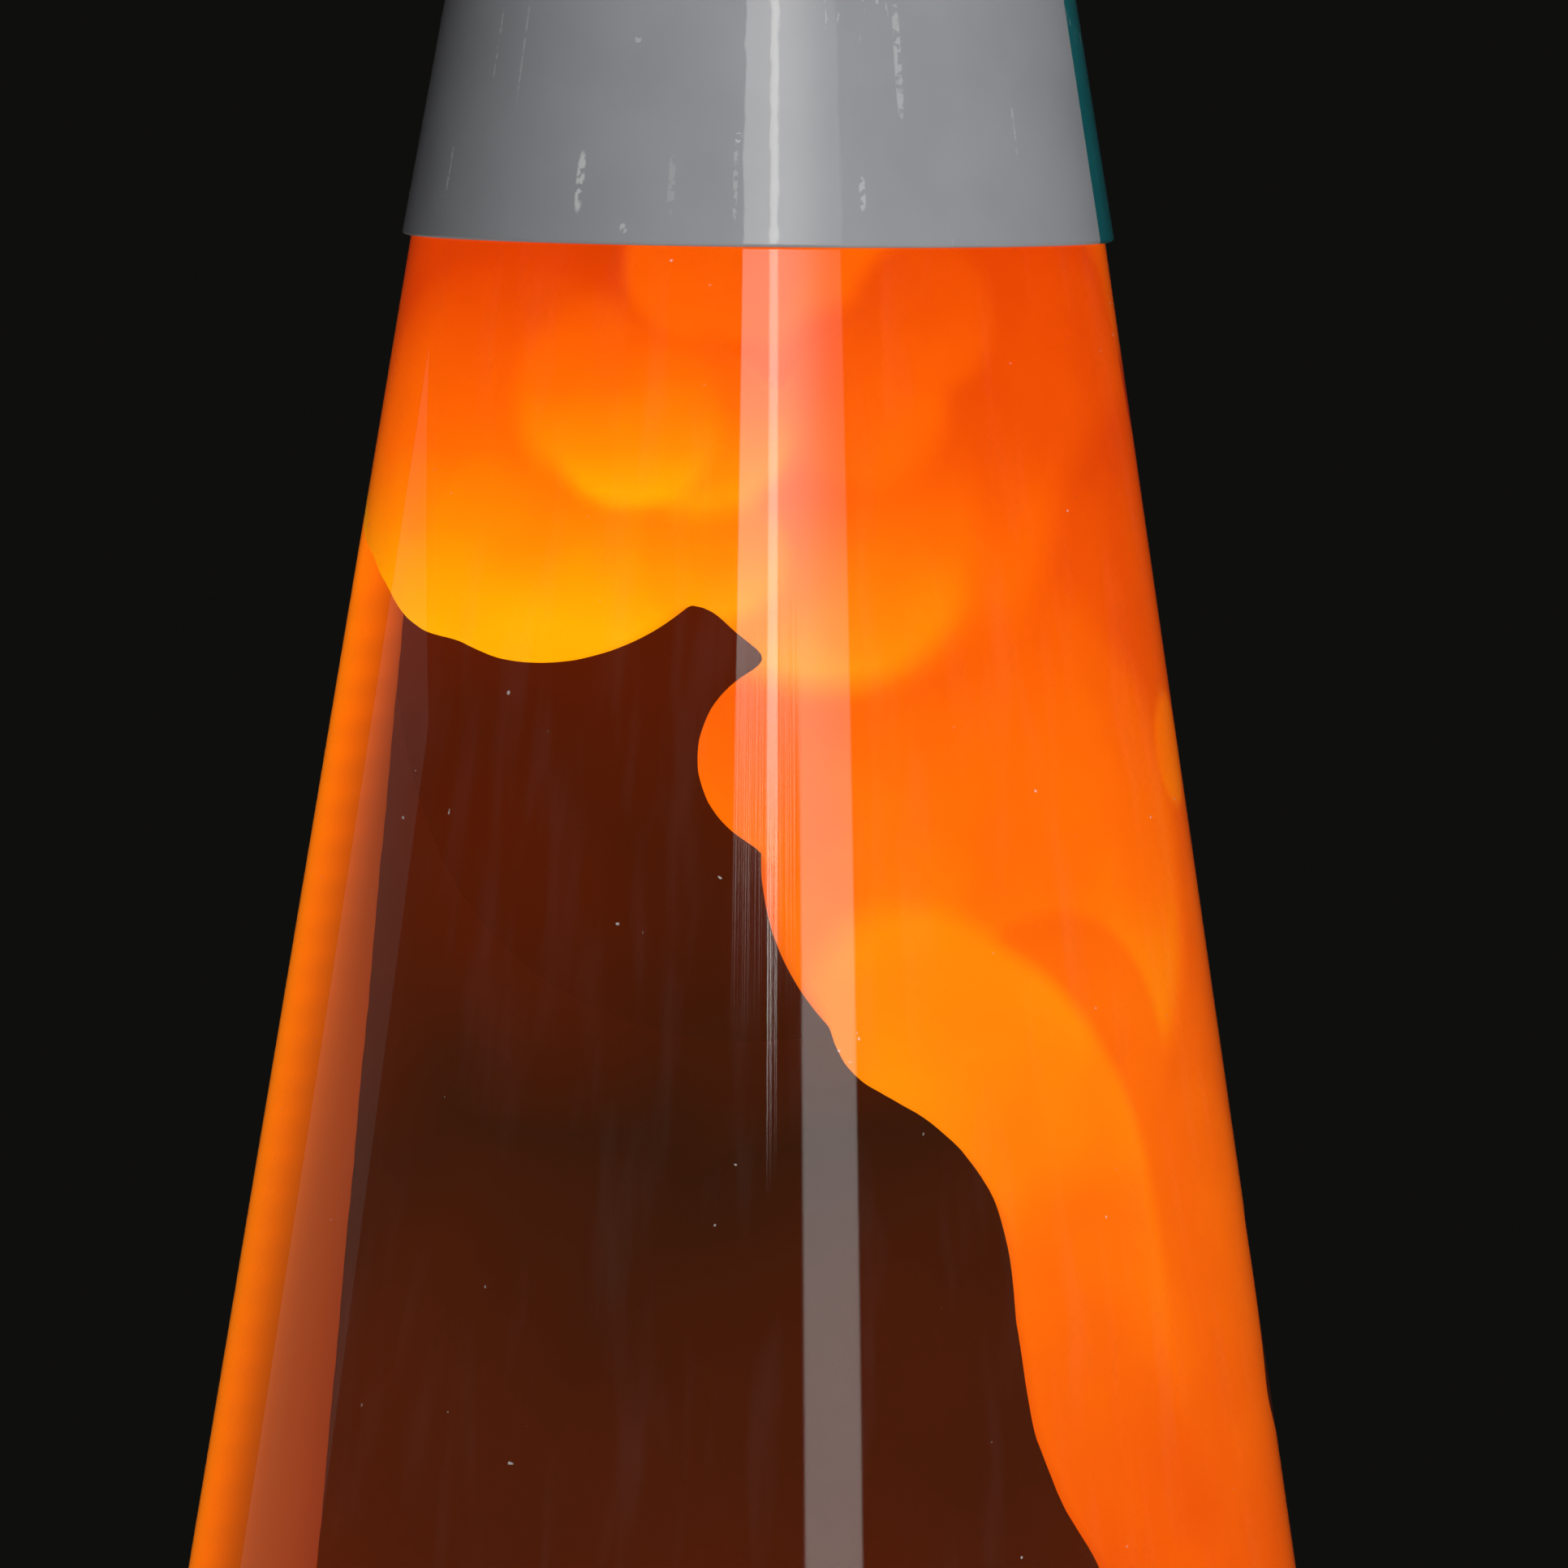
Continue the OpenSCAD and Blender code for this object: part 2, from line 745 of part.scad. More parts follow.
module cap_shell() {
    top_r = cap_r - cap_slope * (cap_top_z - cap_rim_z);
    dish_r = top_r - 5.5;
    dish_depth = 1.2;
    path = [
        [cap_r, cap_rim_z, 0],
        [top_r, cap_top_z, cap_edge_r],
        [dish_r, cap_top_z, 1.2],
        [dish_r - 1.2, cap_top_z - dish_depth, 1.2],
        [0, cap_top_z - dish_depth, 0]
    ];
    color([0.5, 0.5, 0.52]) turned(sheet(path, cap_t, 12));
}

base_shell();
bottom_plate();
plate_screws();
foot_1();
foot_2();
foot_3();
foot_4();
cord_grommet();
lamp_pipe();
lock_nut_lower();
lock_nut_upper();
lock_washer();
socket_body();
socket_screw_shell();
socket_centre_contact();
socket_terminals();
socket_terminal_screws();
bulb_envelope();
bulb_screw_shell();
bulb_insulator();
bulb_contact();
bulb_stem();
bulb_lead_wires();
bulb_support_wires();
bulb_filament();
bottle();
liquid();
wax();
heating_coil();
crown_cap();
crown_liner();
cap_shell();
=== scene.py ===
import math
from collections import namedtuple

import bpy
import numpy as np
from mathutils import Matrix, Vector


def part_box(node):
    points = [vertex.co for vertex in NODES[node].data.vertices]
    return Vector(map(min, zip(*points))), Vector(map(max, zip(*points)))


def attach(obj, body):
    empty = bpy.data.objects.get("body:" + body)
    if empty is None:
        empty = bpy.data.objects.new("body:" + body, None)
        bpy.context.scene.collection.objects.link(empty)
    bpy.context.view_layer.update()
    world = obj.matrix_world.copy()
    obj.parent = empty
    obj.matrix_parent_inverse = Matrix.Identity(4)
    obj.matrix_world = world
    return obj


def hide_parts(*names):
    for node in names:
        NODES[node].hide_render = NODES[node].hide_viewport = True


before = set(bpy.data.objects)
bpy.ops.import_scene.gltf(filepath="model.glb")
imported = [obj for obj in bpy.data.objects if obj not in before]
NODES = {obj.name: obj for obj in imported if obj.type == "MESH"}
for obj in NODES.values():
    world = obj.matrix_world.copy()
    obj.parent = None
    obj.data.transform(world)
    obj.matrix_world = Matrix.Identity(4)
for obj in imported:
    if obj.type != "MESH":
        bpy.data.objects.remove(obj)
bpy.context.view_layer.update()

MM = 0.001

# Edges that turn by more than these angles, in degrees, stay sharp
SHARP_ON_CAD = 30
SHARP_ON_PIECES = 35
SHARP_ON_CROWN = 50

# ---------------------------------------------------------------- places read from the frame

CAP_RIM_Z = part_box("cap_shell")[0].z
CAP_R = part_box("cap_shell")[1].x
LEVEL_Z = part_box("liquid")[1].z
FLOOR_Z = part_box("liquid")[0].z
COIL_TOP_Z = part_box("heating_coil")[1].z

# ---------------------------------------------------------------- node helpers


def new_material(name, **inputs):
    """A material, its node tree and its Principled shader, whose inputs are set by name, with
    underscores for spaces."""
    mat = bpy.data.materials.new(name)
    mat.use_nodes = True
    tree = mat.node_tree
    shader = tree.nodes["Principled BSDF"]
    for key, value in inputs.items():
        shader.inputs[key.replace("_", " ")].default_value = value
    return mat, tree, shader


def input_called(made, key):
    """A node's input, by its name with underscores for spaces, or by i and its number."""
    if key[0] == "i" and key[1:].isdigit():
        return made.inputs[int(key[1:])]
    return made.inputs[key.replace("_", " ")]


def feed(tree, socket, value):
    """Links a socket to an input, or sets the input to any other value."""
    if isinstance(value, bpy.types.NodeSocket):
        tree.links.new(value, socket)
    else:
        socket.default_value = value


def node(tree, kind, settings=None, **inputs):
    """A shader node. An input given as a socket is linked, and any other value is set."""
    made = tree.nodes.new(kind)
    for key, value in (settings or {}).items():
        setattr(made, key, value)
    for key, value in inputs.items():
        feed(tree, input_called(made, key), value)
    return made


def math_node(tree, operation, a, b=0.0):
    made = node(tree, "ShaderNodeMath", {"operation": operation}, i0=a, i1=b)
    return made.outputs[0]


def product(tree, *factors):
    made = factors[0]
    for factor in factors[1:]:
        made = math_node(tree, "MULTIPLY", made, factor)
    return made


def ramp(tree, value, stops):
    """A colour ramp over value. stops are (position, colour)."""
    made = node(tree, "ShaderNodeValToRGB", i0=value)
    elements = made.color_ramp.elements
    while len(elements) > 1:
        elements.remove(elements[-1])
    elements[0].position, elements[0].color = stops[0][0], (*stops[0][1], 1)
    for place, colour in stops[1:]:
        elements.new(place).color = (*colour, 1)
    return made.outputs["Color"]


def two_tone(tree, share, colours):
    """A colour between two others."""
    return ramp(tree, share, list(enumerate(colours)))


def remap(tree, value, low, high, to_low=0.0, to_high=1.0):
    """A smooth step from to_low, where value is low, to to_high, where it is high."""
    made = node(
        tree, "ShaderNodeMapRange", {"clamp": True, "interpolation_type": "SMOOTHSTEP"},
        i0=value, i1=low, i2=high, i3=to_low, i4=to_high,
    )
    return made.outputs[0]


def object_place(tree):
    """The point's place in the shared frame while its piece is at rest, in metres."""
    return tree.nodes.new("ShaderNodeTexCoord").outputs["Object"]


def axes_of(tree, place):
    """The x, y and z of a place."""
    return node(tree, "ShaderNodeSeparateXYZ", i0=place).outputs


def stretched(tree, place, scale):
    """Places for a pattern that is drawn out by scale along x, y and z."""
    made = node(tree, "ShaderNodeMapping", {"vector_type": "TEXTURE"}, i0=place, i3=scale)
    return made.outputs[0]


def mix(tree, share, a, b):
    """Colour a where share is 0, and colour b where it is 1."""
    made = node(tree, "ShaderNodeMix", {"data_type": "RGBA", "blend_type": "MIX"}, i0=share)
    for socket, colour in ((made.inputs[6], a), (made.inputs[7], b)):
        feed(tree, socket, colour if isinstance(colour, bpy.types.NodeSocket) else (*colour, 1))
    return made.outputs[2]


def noise_node(tree, place, scale, detail=2.0, distortion=0.0):
    made = node(
        tree, "ShaderNodeTexNoise",
        Vector=place, Scale=scale, Detail=detail, Distortion=distortion,
    )
    return made.outputs[0]


def add_bump(tree, height, strength, distance, *normals):
    """Gives the shader inputs in normals a relief that follows height."""
    bump = node(tree, "ShaderNodeBump", Strength=strength, Distance=distance, Height=height)
    for socket in normals:
        tree.links.new(bump.outputs[0], socket)


def paint_over(obj, mat):
    """Gives a piece one material only."""
    obj.data.materials.clear()
    obj.data.materials.append(mat)


# ---------------------------------------------------------------- painted metal

# The teal panel's two edges, in degrees to the right of the front, and the radius inside which it
# stops, at the edge of the cap's top
PANEL_START = 72.5
PANEL_END = 132.5
PANEL_INNER_R = 20.5 * MM

# The two colours that each coat is mottled with, and the colour of worn paint
GREY_PAINT = (0.380, 0.390, 0.422), (0.402, 0.412, 0.445)
TEAL_PAINT = (0.007, 0.150, 0.172), (0.010, 0.170, 0.190)
PRIMER = (0.30, 0.30, 0.30), (0.42, 0.42, 0.41)
WORN_PAINT = (0.68, 0.72, 0.72)

# A surface is on the inner side where its radius, times the part of its normal that points outwards,
# is below this
INNER_SIDE_BELOW = -0.2 * MM

# The marks on the cap: turn and height of the middle, half the length and half the width in
# millimetres, and how much of the paint is worn off
Knock = namedtuple("Knock", "turn height length width wear")
KNOCKS = [
    Knock(-30, 346.7, 3.0, 0.50, 1.0),
    Knock(-62, 347.2, 2.8, 0.22, 0.9),
    Knock(-52.5, 359.7, 4.0, 0.20, 0.5),
    Knock(-45.5, 359.3, 5.6, 0.18, 0.4),
    Knock(-14, 346.7, 3.0, 0.40, 0.25),
    Knock(-21.5, 360.7, 0.5, 0.40, 0.6),
    Knock(-21.6, 342.3, 0.5, 0.40, 0.7),
    Knock(-3.2, 351.2, 0.5, 0.40, 0.8),
    Knock(-3.6, 347.0, 4.0, 0.25, 0.4),
    Knock(24.5, 358.9, 6.0, 0.45, 0.5),
    Knock(17, 345.9, 1.7, 0.35, 0.6),
    Knock(48, 352.0, 3.0, 0.20, 0.4),
]
# How square the ends of a mark are, and where it starts and stops fading out, as shares of its size
KNOCK_END_POWER = 4.0
KNOCK_EDGE = 1.3
KNOCK_CORE = 0.4


def knocks(tree, turn, z, place):
    """How much of the paint the marks on the cap have worn off at a place."""
    crumbs = remap(tree, noise_node(tree, place, scale=1500), 0.42, 0.56)
    worn = 0.0
    for knock in KNOCKS:
        off = math_node(tree, "SUBTRACT", turn, math.radians(knock.turn))
        across = product(tree, off, CAP_R / (knock.width * MM))
        off = math_node(tree, "SUBTRACT", z, knock.height * MM)
        along = math_node(tree, "DIVIDE", off, knock.length * MM)
        along = math_node(tree, "POWER", math_node(tree, "ABSOLUTE", along), KNOCK_END_POWER)
        reach = math_node(tree, "ADD", product(tree, across, across), along)
        inside = remap(tree, reach, KNOCK_EDGE, KNOCK_CORE, 0.0, knock.wear)
        worn = math_node(tree, "MAXIMUM", worn, inside)
    return product(tree, worn, crumbs)


def teal_panel(tree, x, y, turn):
    """1 on the teal panel, and 0 off it."""
    past_start = math_node(tree, "GREATER_THAN", turn, math.radians(PANEL_START))
    before_end = math_node(tree, "LESS_THAN", turn, math.radians(PANEL_END))
    squares = math_node(tree, "ADD", product(tree, x, x), product(tree, y, y))
    reach = math_node(tree, "SQRT", squares)
    off_the_top = math_node(tree, "GREATER_THAN", reach, PANEL_INNER_R)
    return product(tree, past_start, before_end, off_the_top)


def inner_side(tree, x, y):
    """1 where the surface faces the lamp's axis, and 0 elsewhere."""
    outwards = node(tree, "ShaderNodeCombineXYZ", i0=x, i1=y, i2=0.0).outputs[0]
    normal = tree.nodes.new("ShaderNodeTexCoord").outputs["Normal"]
    facing = node(
        tree, "ShaderNodeVectorMath", {"operation": "DOT_PRODUCT"}, i0=outwards, i1=normal
    )
    return math_node(tree, "LESS_THAN", facing.outputs["Value"], INNER_SIDE_BELOW)


def scuffs(tree, place, turn, z):
    """How far the paint is worn: upright streaks in patches, and the marks on the cap."""
    streaks = noise_node(tree, stretched(tree, place, (0.5, 0.5, 9.0)), scale=1300)
    patches = noise_node(tree, place, scale=34, detail=1)
    streaks = product(
        tree, remap(tree, streaks, 0.66, 0.72, 0.0, 0.6), remap(tree, patches, 0.62, 0.68)
    )
    return math_node(tree, "MAXIMUM", streaks, knocks(tree, turn, z, place))


def painted_metal():
    """Grey gloss paint with one teal panel, scuffed where it has been knocked, and thin grey primer on
    the inner side."""
    mat, tree, shader = new_material(
        "painted_metal", Metallic=0.0, Specular_IOR_Level=0.15, Coat_Weight=0.9, Coat_Roughness=0.03
    )
    place = object_place(tree)
    x, y, z = axes_of(tree, place)
    turn = math_node(tree, "ARCTAN2", x, product(tree, y, -1.0))
    mottle = noise_node(tree, place, scale=90, detail=3)
    shade = remap(tree, mottle, 0.35, 0.65)
    grey = two_tone(tree, shade, GREY_PAINT)
    teal = two_tone(tree, shade, TEAL_PAINT)
    primer = two_tone(tree, shade, PRIMER)
    scuffed = scuffs(tree, place, turn, z)
    colour = mix(tree, teal_panel(tree, x, y, turn), grey, teal)
    colour = mix(tree, inner_side(tree, x, y), colour, primer)
    colour = mix(tree, scuffed, colour, WORN_PAINT)
    tree.links.new(colour, shader.inputs["Base Color"])
    rough = remap(tree, mottle, 0.3, 0.7, 0.30, 0.36)
    rough = math_node(tree, "ADD", rough, product(tree, scuffed, 0.3))
    tree.links.new(rough, shader.inputs["Roughness"])
    peel = noise_node(tree, place, scale=650, detail=1)
    add_bump(tree, peel, 0.10, 0.1 * MM, shader.inputs["Normal"], shader.inputs["Coat Normal"])
    return mat


# ---------------------------------------------------------------- wax, glass and liquid

# The brightest glow that the wax's colours allow for, in the numbers that the blobs are given
BRIGHTEST = 1.6

# The wax's painted light at each glow, from deep orange to yellow: emission colours that stand in for
# the bulb's light scattered inside the wax
WAX_COLOURS = [
    (0.0, (0.42, 0.024, 0.0)),
    (0.25, (0.69, 0.046, 0.0)),
    (0.4, (0.85, 0.088, 0.0)),
    (0.6, (1.02, 0.152, 0.0)),
    (0.8, (1.07, 0.275, 0.0)),
    (1.0, (1.10, 0.475, 0.0)),
    (BRIGHTEST, (1.95, 0.40, 0.0)),
]

# The colour of wax that is seen through the liquid, at two heights: painted shade, the wax's glow
# darkened where the murky liquid lies in front of it
VEILED_LOW_Z = 245 * MM
VEILED_HIGH_Z = 305 * MM
VEILED_WAX = (0.66, 0.185, 0.007), (0.32, 0.095, 0.012)

# The colours of the liquid's faint glow, each placed by its share of the way up between two heights
LIQUID_LOW_Z = 180 * MM
LIQUID_HIGH_Z = 340 * MM
LIQUID_COLOURS = [
    (0.0, (0.074, 0.0125, 0.0030)),
    (0.45, (0.030, 0.0095, 0.0033)),
    (1.0, (0.120, 0.0112, 0.0008)),
]
LIQUID_DENSITY = 80.0
LIQUID_TINT = (0.62, 0.25, 0.03, 1)


def wax_material():
    """Wax with painted light: its emission stands in for the bulb's light scattered inside it.
    The mesh says how brightly each place glows, and how far painted shade veils it.
    """
    mat, tree, shader = new_material(
        "glowing_wax", Roughness=0.45, Base_Color=(0.08, 0.012, 0.0, 1), Specular_IOR_Level=0.03,
        Emission_Strength=1.0,
    )
    place = object_place(tree)
    height = axes_of(tree, place)["Z"]
    # Painted light: glow is how brightly the bulb's light shows in the wax at each point, set on the mesh
    glow = node(tree, "ShaderNodeAttribute", {"attribute_name": "glow"}).outputs["Fac"]
    cloud = noise_node(tree, place, scale=70)
    glow = math_node(tree, "ADD", glow, remap(tree, cloud, 0.3, 0.7, -0.03, 0.03))
    glow = math_node(tree, "DIVIDE", glow, BRIGHTEST)
    colour = ramp(tree, glow, [(level / BRIGHTEST, tone) for level, tone in WAX_COLOURS])
    # veil is painted shade: how far the liquid in front dims the wax's painted glow
    veil = node(tree, "ShaderNodeAttribute", {"attribute_name": "veil"}).outputs["Fac"]
    veiled = two_tone(tree, remap(tree, height, VEILED_LOW_Z, VEILED_HIGH_Z), VEILED_WAX)
    tree.links.new(mix(tree, veil, colour, veiled), shader.inputs["Emission Color"])
    return mat


def clear_glass(name, ior, dusty=False):
    """Clear glass. On a dusty one, faint upright smears and specks of dust catch the light."""
    mat, tree, shader = new_material(
        name, Roughness=0.0, IOR=ior, Base_Color=(1, 1, 1, 1), Transmission_Weight=1.0
    )
    if dusty:
        place = object_place(tree)
        upright = stretched(tree, place, (1, 1, 60))
        smears = remap(tree, noise_node(tree, upright, scale=300, detail=3), 0.48, 0.80, 0.0, 0.009)
        specks = remap(tree, noise_node(tree, place, scale=900, detail=1), 0.80, 0.84, 0.0, 0.5)
        clear = math_node(tree, "SUBTRACT", 1.0, math_node(tree, "MAXIMUM", smears, specks))
        tree.links.new(clear, shader.inputs["Transmission Weight"])
    return mat


def amber_liquid():
    """Dark amber liquid. Its skin glows faintly, as the wax's light is scattered in it. It bends no
    light itself, because the glass's inner face is already told how the liquid bends it."""
    mat, tree, shader = new_material(
        "amber_liquid", Roughness=0.0, IOR=1.0, Base_Color=(1, 1, 1, 1), Transmission_Weight=1.0,
        Emission_Strength=1.0,
    )
    place = object_place(tree)
    cloud = remap(tree, noise_node(tree, place, scale=25), 0.3, 0.7, -12 * MM, 12 * MM)
    height = math_node(tree, "ADD", axes_of(tree, place)["Z"], cloud)
    colour = ramp(tree, remap(tree, height, LIQUID_LOW_Z, LIQUID_HIGH_Z), LIQUID_COLOURS)
    tree.links.new(colour, shader.inputs["Emission Color"])
    depth = node(tree, "ShaderNodeVolumeAbsorption", Density=LIQUID_DENSITY, Color=LIQUID_TINT)
    tree.links.new(depth.outputs[0], tree.nodes["Material Output"].inputs["Volume"])
    return mat


# ---------------------------------------------------------------- materials of the other pieces


def worn_metal(name, bright, dull, roughness, coat=0.0):
    """Bare or plated metal: dull patches, fine scratches all ways, and a slightly uneven polish."""
    mat, tree, shader = new_material(name, Metallic=1.0, Coat_Weight=coat)
    place = object_place(tree)
    patches = remap(tree, noise_node(tree, place, scale=160, detail=4), 0.38, 0.68)
    tree.links.new(two_tone(tree, patches, (bright, dull)), shader.inputs["Base Color"])
    flat = stretched(tree, place, (8, 8, 0.6))
    scratches = noise_node(tree, flat, scale=2600, distortion=0.5)
    rough = remap(tree, scratches, 0.3, 0.7, 0.75 * roughness, 1.2 * roughness)
    rough = math_node(tree, "ADD", rough, product(tree, patches, 0.12))
    tree.links.new(rough, shader.inputs["Roughness"])
    add_bump(tree, scratches, 0.15, 0.05 * MM, shader.inputs["Normal"])
    return mat


def mottled(name, colour, other, roughness, grain, relief, coat=0.0):
    """Glaze, rubber, plastic or textured paint: two near colours in soft patches over a fine grain."""
    mat, tree, shader = new_material(name, Coat_Weight=coat)
    place = object_place(tree)
    patches = remap(tree, noise_node(tree, place, scale=110, detail=4), 0.35, 0.65)
    fine = noise_node(tree, place, scale=grain, detail=3)
    grains = remap(tree, fine, 0.3, 0.7, 0.0, 0.3)
    share = math_node(tree, "ADD", product(tree, patches, 0.7), grains)
    tree.links.new(two_tone(tree, share, (colour, other)), shader.inputs["Base Color"])
    rough = remap(tree, fine, 0.3, 0.7, 0.85 * roughness, 1.15 * roughness)
    tree.links.new(rough, shader.inputs["Roughness"])
    add_bump(tree, fine, relief, 0.1 * MM, shader.inputs["Normal"])
    return mat


def hot_filament():
    """Tungsten at work, cooler where its ends are held."""
    mat, tree, shader = new_material(
        "hot_filament", Metallic=1.0, Roughness=0.5, Base_Color=(0.35, 0.33, 0.32, 1),
        Emission_Strength=7.0,
    )
    y = axes_of(tree, object_place(tree))["Y"]
    heat = ramp(tree, remap(tree, y, 0.0, -3 * MM), [
        (0, (0.6, 0.12, 0.02)),
        (0.5, (1.0, 0.42, 0.12)),
        (1, (1.0, 0.62, 0.28)),
    ])
    tree.links.new(heat, shader.inputs["Emission Color"])
    return mat


# ---------------------------------------------------------------- shapes


def outline(name):
    """A turned CAD node's outline on the +X side of its axis, in order, as (radius, height)."""
    mesh = NODES[name].data
    near = 1e-6
    spot = {}
    for v in mesh.vertices:
        if abs(v.co.y) < near and v.co.x > -near:
            spot[v.index] = (round(max(v.co.x, 0.0), 7), round(v.co.z, 7))
    links = {}
    for e in mesh.edges:
        a, b = spot.get(e.vertices[0]), spot.get(e.vertices[1])
        if a and b and a != b and not (a[0] == 0 and b[0] == 0):
            links.setdefault(a, set()).add(b)
            links.setdefault(b, set()).add(a)
    start = min((p for p in links if len(links[p]) == 1), key=lambda p: p[1])
    path = [start]
    while True:
        onward = [p for p in links[path[-1]] if p not in path]
        if not onward:
            return [(0, start[1])] + path + [(0, path[-1][1])]
        path.append(onward[0])


def lathe(name, path, segments=360, slots=(), slot_of=None):
    """A mesh turned about the lamp's axis from a path of (radius, height)."""
    verts, rings = [], []
    for r, z in path:
        if r == 0:
            rings.append([len(verts)])
            verts.append((0, 0, z))
            continue
        rings.append(range(len(verts), len(verts) + segments))
        for i in range(segments):
            a = 2 * math.pi * i / segments
            verts.append((r * math.cos(a), r * math.sin(a), z))
    faces, owners = [], []
    for k in range(len(rings) - 1):
        low, high = rings[k], rings[k + 1]
        for i in range(segments):
            j = (i + 1) % segments
            if len(low) == 1:
                faces.append((low[0], high[j], high[i]))
            elif len(high) == 1:
                faces.append((low[i], low[j], high[0]))
            else:
                faces.append((low[i], low[j], high[j], high[i]))
            owners.append(k)
    mesh = bpy.data.meshes.new(name)
    mesh.from_pydata(verts, [], faces)
    for slot in slots:
        mesh.materials.append(slot)
    for polygon in mesh.polygons:
        polygon.use_smooth = True
        if slot_of:
            polygon.material_index = slot_of(owners[polygon.index])
    mesh.set_sharp_from_angle(angle=math.radians(SHARP_ON_PIECES))
    obj = bpy.data.objects.new(name, mesh)
    bpy.context.scene.collection.objects.link(obj)
    return obj


def ball(centre, radius):
    bpy.ops.mesh.primitive_uv_sphere_add(
        segments=48, ring_count=32, radius=radius, location=centre
    )
    return bpy.context.object


# ---------------------------------------------------------------- globe

bottle_path = outline("bottle")
mouth_index = max(range(len(bottle_path)), key=lambda i: (bottle_path[i][1], -bottle_path[i][0]))
inside_path = bottle_path[mouth_index:][::-1]

GLASS_IOR = 1.5
LIQUID_IOR = 1.36


def inside_radius(z):
    """The radius of the globe's wall on its inside at height z."""
    for (r0, z0), (r1, z1) in zip(inside_path, inside_path[1:]):
        if z0 <= z <= z1 and z1 > z0:
            return r0 + (r1 - r0) * (z - z0) / (z1 - z0)
    return inside_path[-1][0]


def glass_slot(k):
    """0 for the outside, 1 for the wall that the liquid wets, 2 for the dry wall above it."""
    if k < mouth_index:
        return 0
    height = (bottle_path[k][1] + bottle_path[k + 1][1]) / 2
    return 1 if height < LEVEL_Z else 2


glass_out = clear_glass("globe_glass", GLASS_IOR, dusty=True)
glass_dry = clear_glass("globe_glass_dry_side", GLASS_IOR)
glass_wet = clear_glass("globe_glass_wet_side", GLASS_IOR / LIQUID_IOR)
glass = lathe("globe_glass", bottle_path, slots=(glass_out, glass_wet, glass_dry), slot_of=glass_slot)
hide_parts("bottle")
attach(glass, "globe")

# The liquid's skin lies a little way into the glass, so no air is left between them
SKIN = 0.03 * MM
liquid_path = [(r + SKIN if r else 0, z) for r, z in inside_path if z < LEVEL_Z]
liquid_path[0] = (0, FLOOR_Z - SKIN)
liquid_path += [(inside_radius(LEVEL_Z) + SKIN, LEVEL_Z), (0, LEVEL_Z)]
liquid = lathe("amber_liquid", liquid_path, slots=(amber_liquid(),))
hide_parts("liquid")
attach(liquid, "globe")

# ---------------------------------------------------------------- the wax's blobs

# One blob of wax: its turn from the front in degrees (+ to the right), the depth of its centre behind
# the wall, its height, radius and the softness of its edge in millimetres, how brightly its top and
# its underside glow, and how far the murky liquid veils it. A blob later in the list lies in front.
# The glow is painted light, with undersides brighter because the bulb lights the wax from below, and
# the veil is painted shade.
Blob = namedtuple("Blob", "turn depth height radius edge top under veil", defaults=(0,))
WAX_BLOBS = [
    Blob(0, 30, 338, 30, 6, 0.30, 0.80),
    Blob(180, 22, 335, 26, 6, 0.30, 0.80),
    Blob(120, 8, 305, 18, 6, 0.30, 0.85),
    Blob(-78, 4, 327, 16, 5, 0.20, 0.75),
    Blob(28, 5, 303, 10, 6, 0.40, 0.50),
    Blob(-90, 2, 328, 15, 6, 0.25, 0.85),
    Blob(-76, 0, 324, 15.5, 6, 0.22, 0.85),
    Blob(-62, 0, 320.5, 15.5, 6, 0.20, 0.90),
    Blob(-50, 0, 320, 18.7, 6, 0.20, 1.0),
    Blob(55, 0, 322, 20, 6, 0.24, 0.50),
    Blob(85, 0, 300, 22, 6, 0.30, 0.45),
    Blob(88, 0, 265, 22, 6, 0.45, 0.55),
    Blob(38, 0, 281, 24.3, 6, 0.47, 0.76),
    Blob(44, 0, 261, 14, 2, 0.55, 0.64),
    Blob(83, 0, 290, 5, 1.5, 0.62, 0.66),
    Blob(66, 0, 236, 20, 6, 0.58, 0.54),
    Blob(80, 0, 198, 25, 6, 0.50, 0.40),
    Blob(73, 0, 212, 17, 8, 0.52, 0.44),
    Blob(6, 0, 291.4, 9.4, 4, 0.50, 0.64),
    Blob(-35, 0, 320, 20.5, 5, 0.20, 1.05),
    Blob(25, 0, 318, 12, 8, 0.28, 0.56),
    Blob(11, 0, 313, 13, 5, 0.27, 0.86),
    Blob(-6, 0, 311, 5.5, 3, 0.66, 0.90),
    Blob(-8, 0, 339, 7.5, 2, 0.40, 0.54),
    Blob(17, 0, 326, 7, 4, 0.40, 0.56),
    Blob(30, 0, 334, 6, 3, 0.30, 0.44),
    Blob(-28, 0, 326.5, 6.5, 4, 0.42, 0.82),
    Blob(-8.5, 0, 323.3, 7.3, 3.5, 0.45, 0.88),
    Blob(-20, 0, 323.7, 7.5, 2.5, 0.45, 0.98),
]

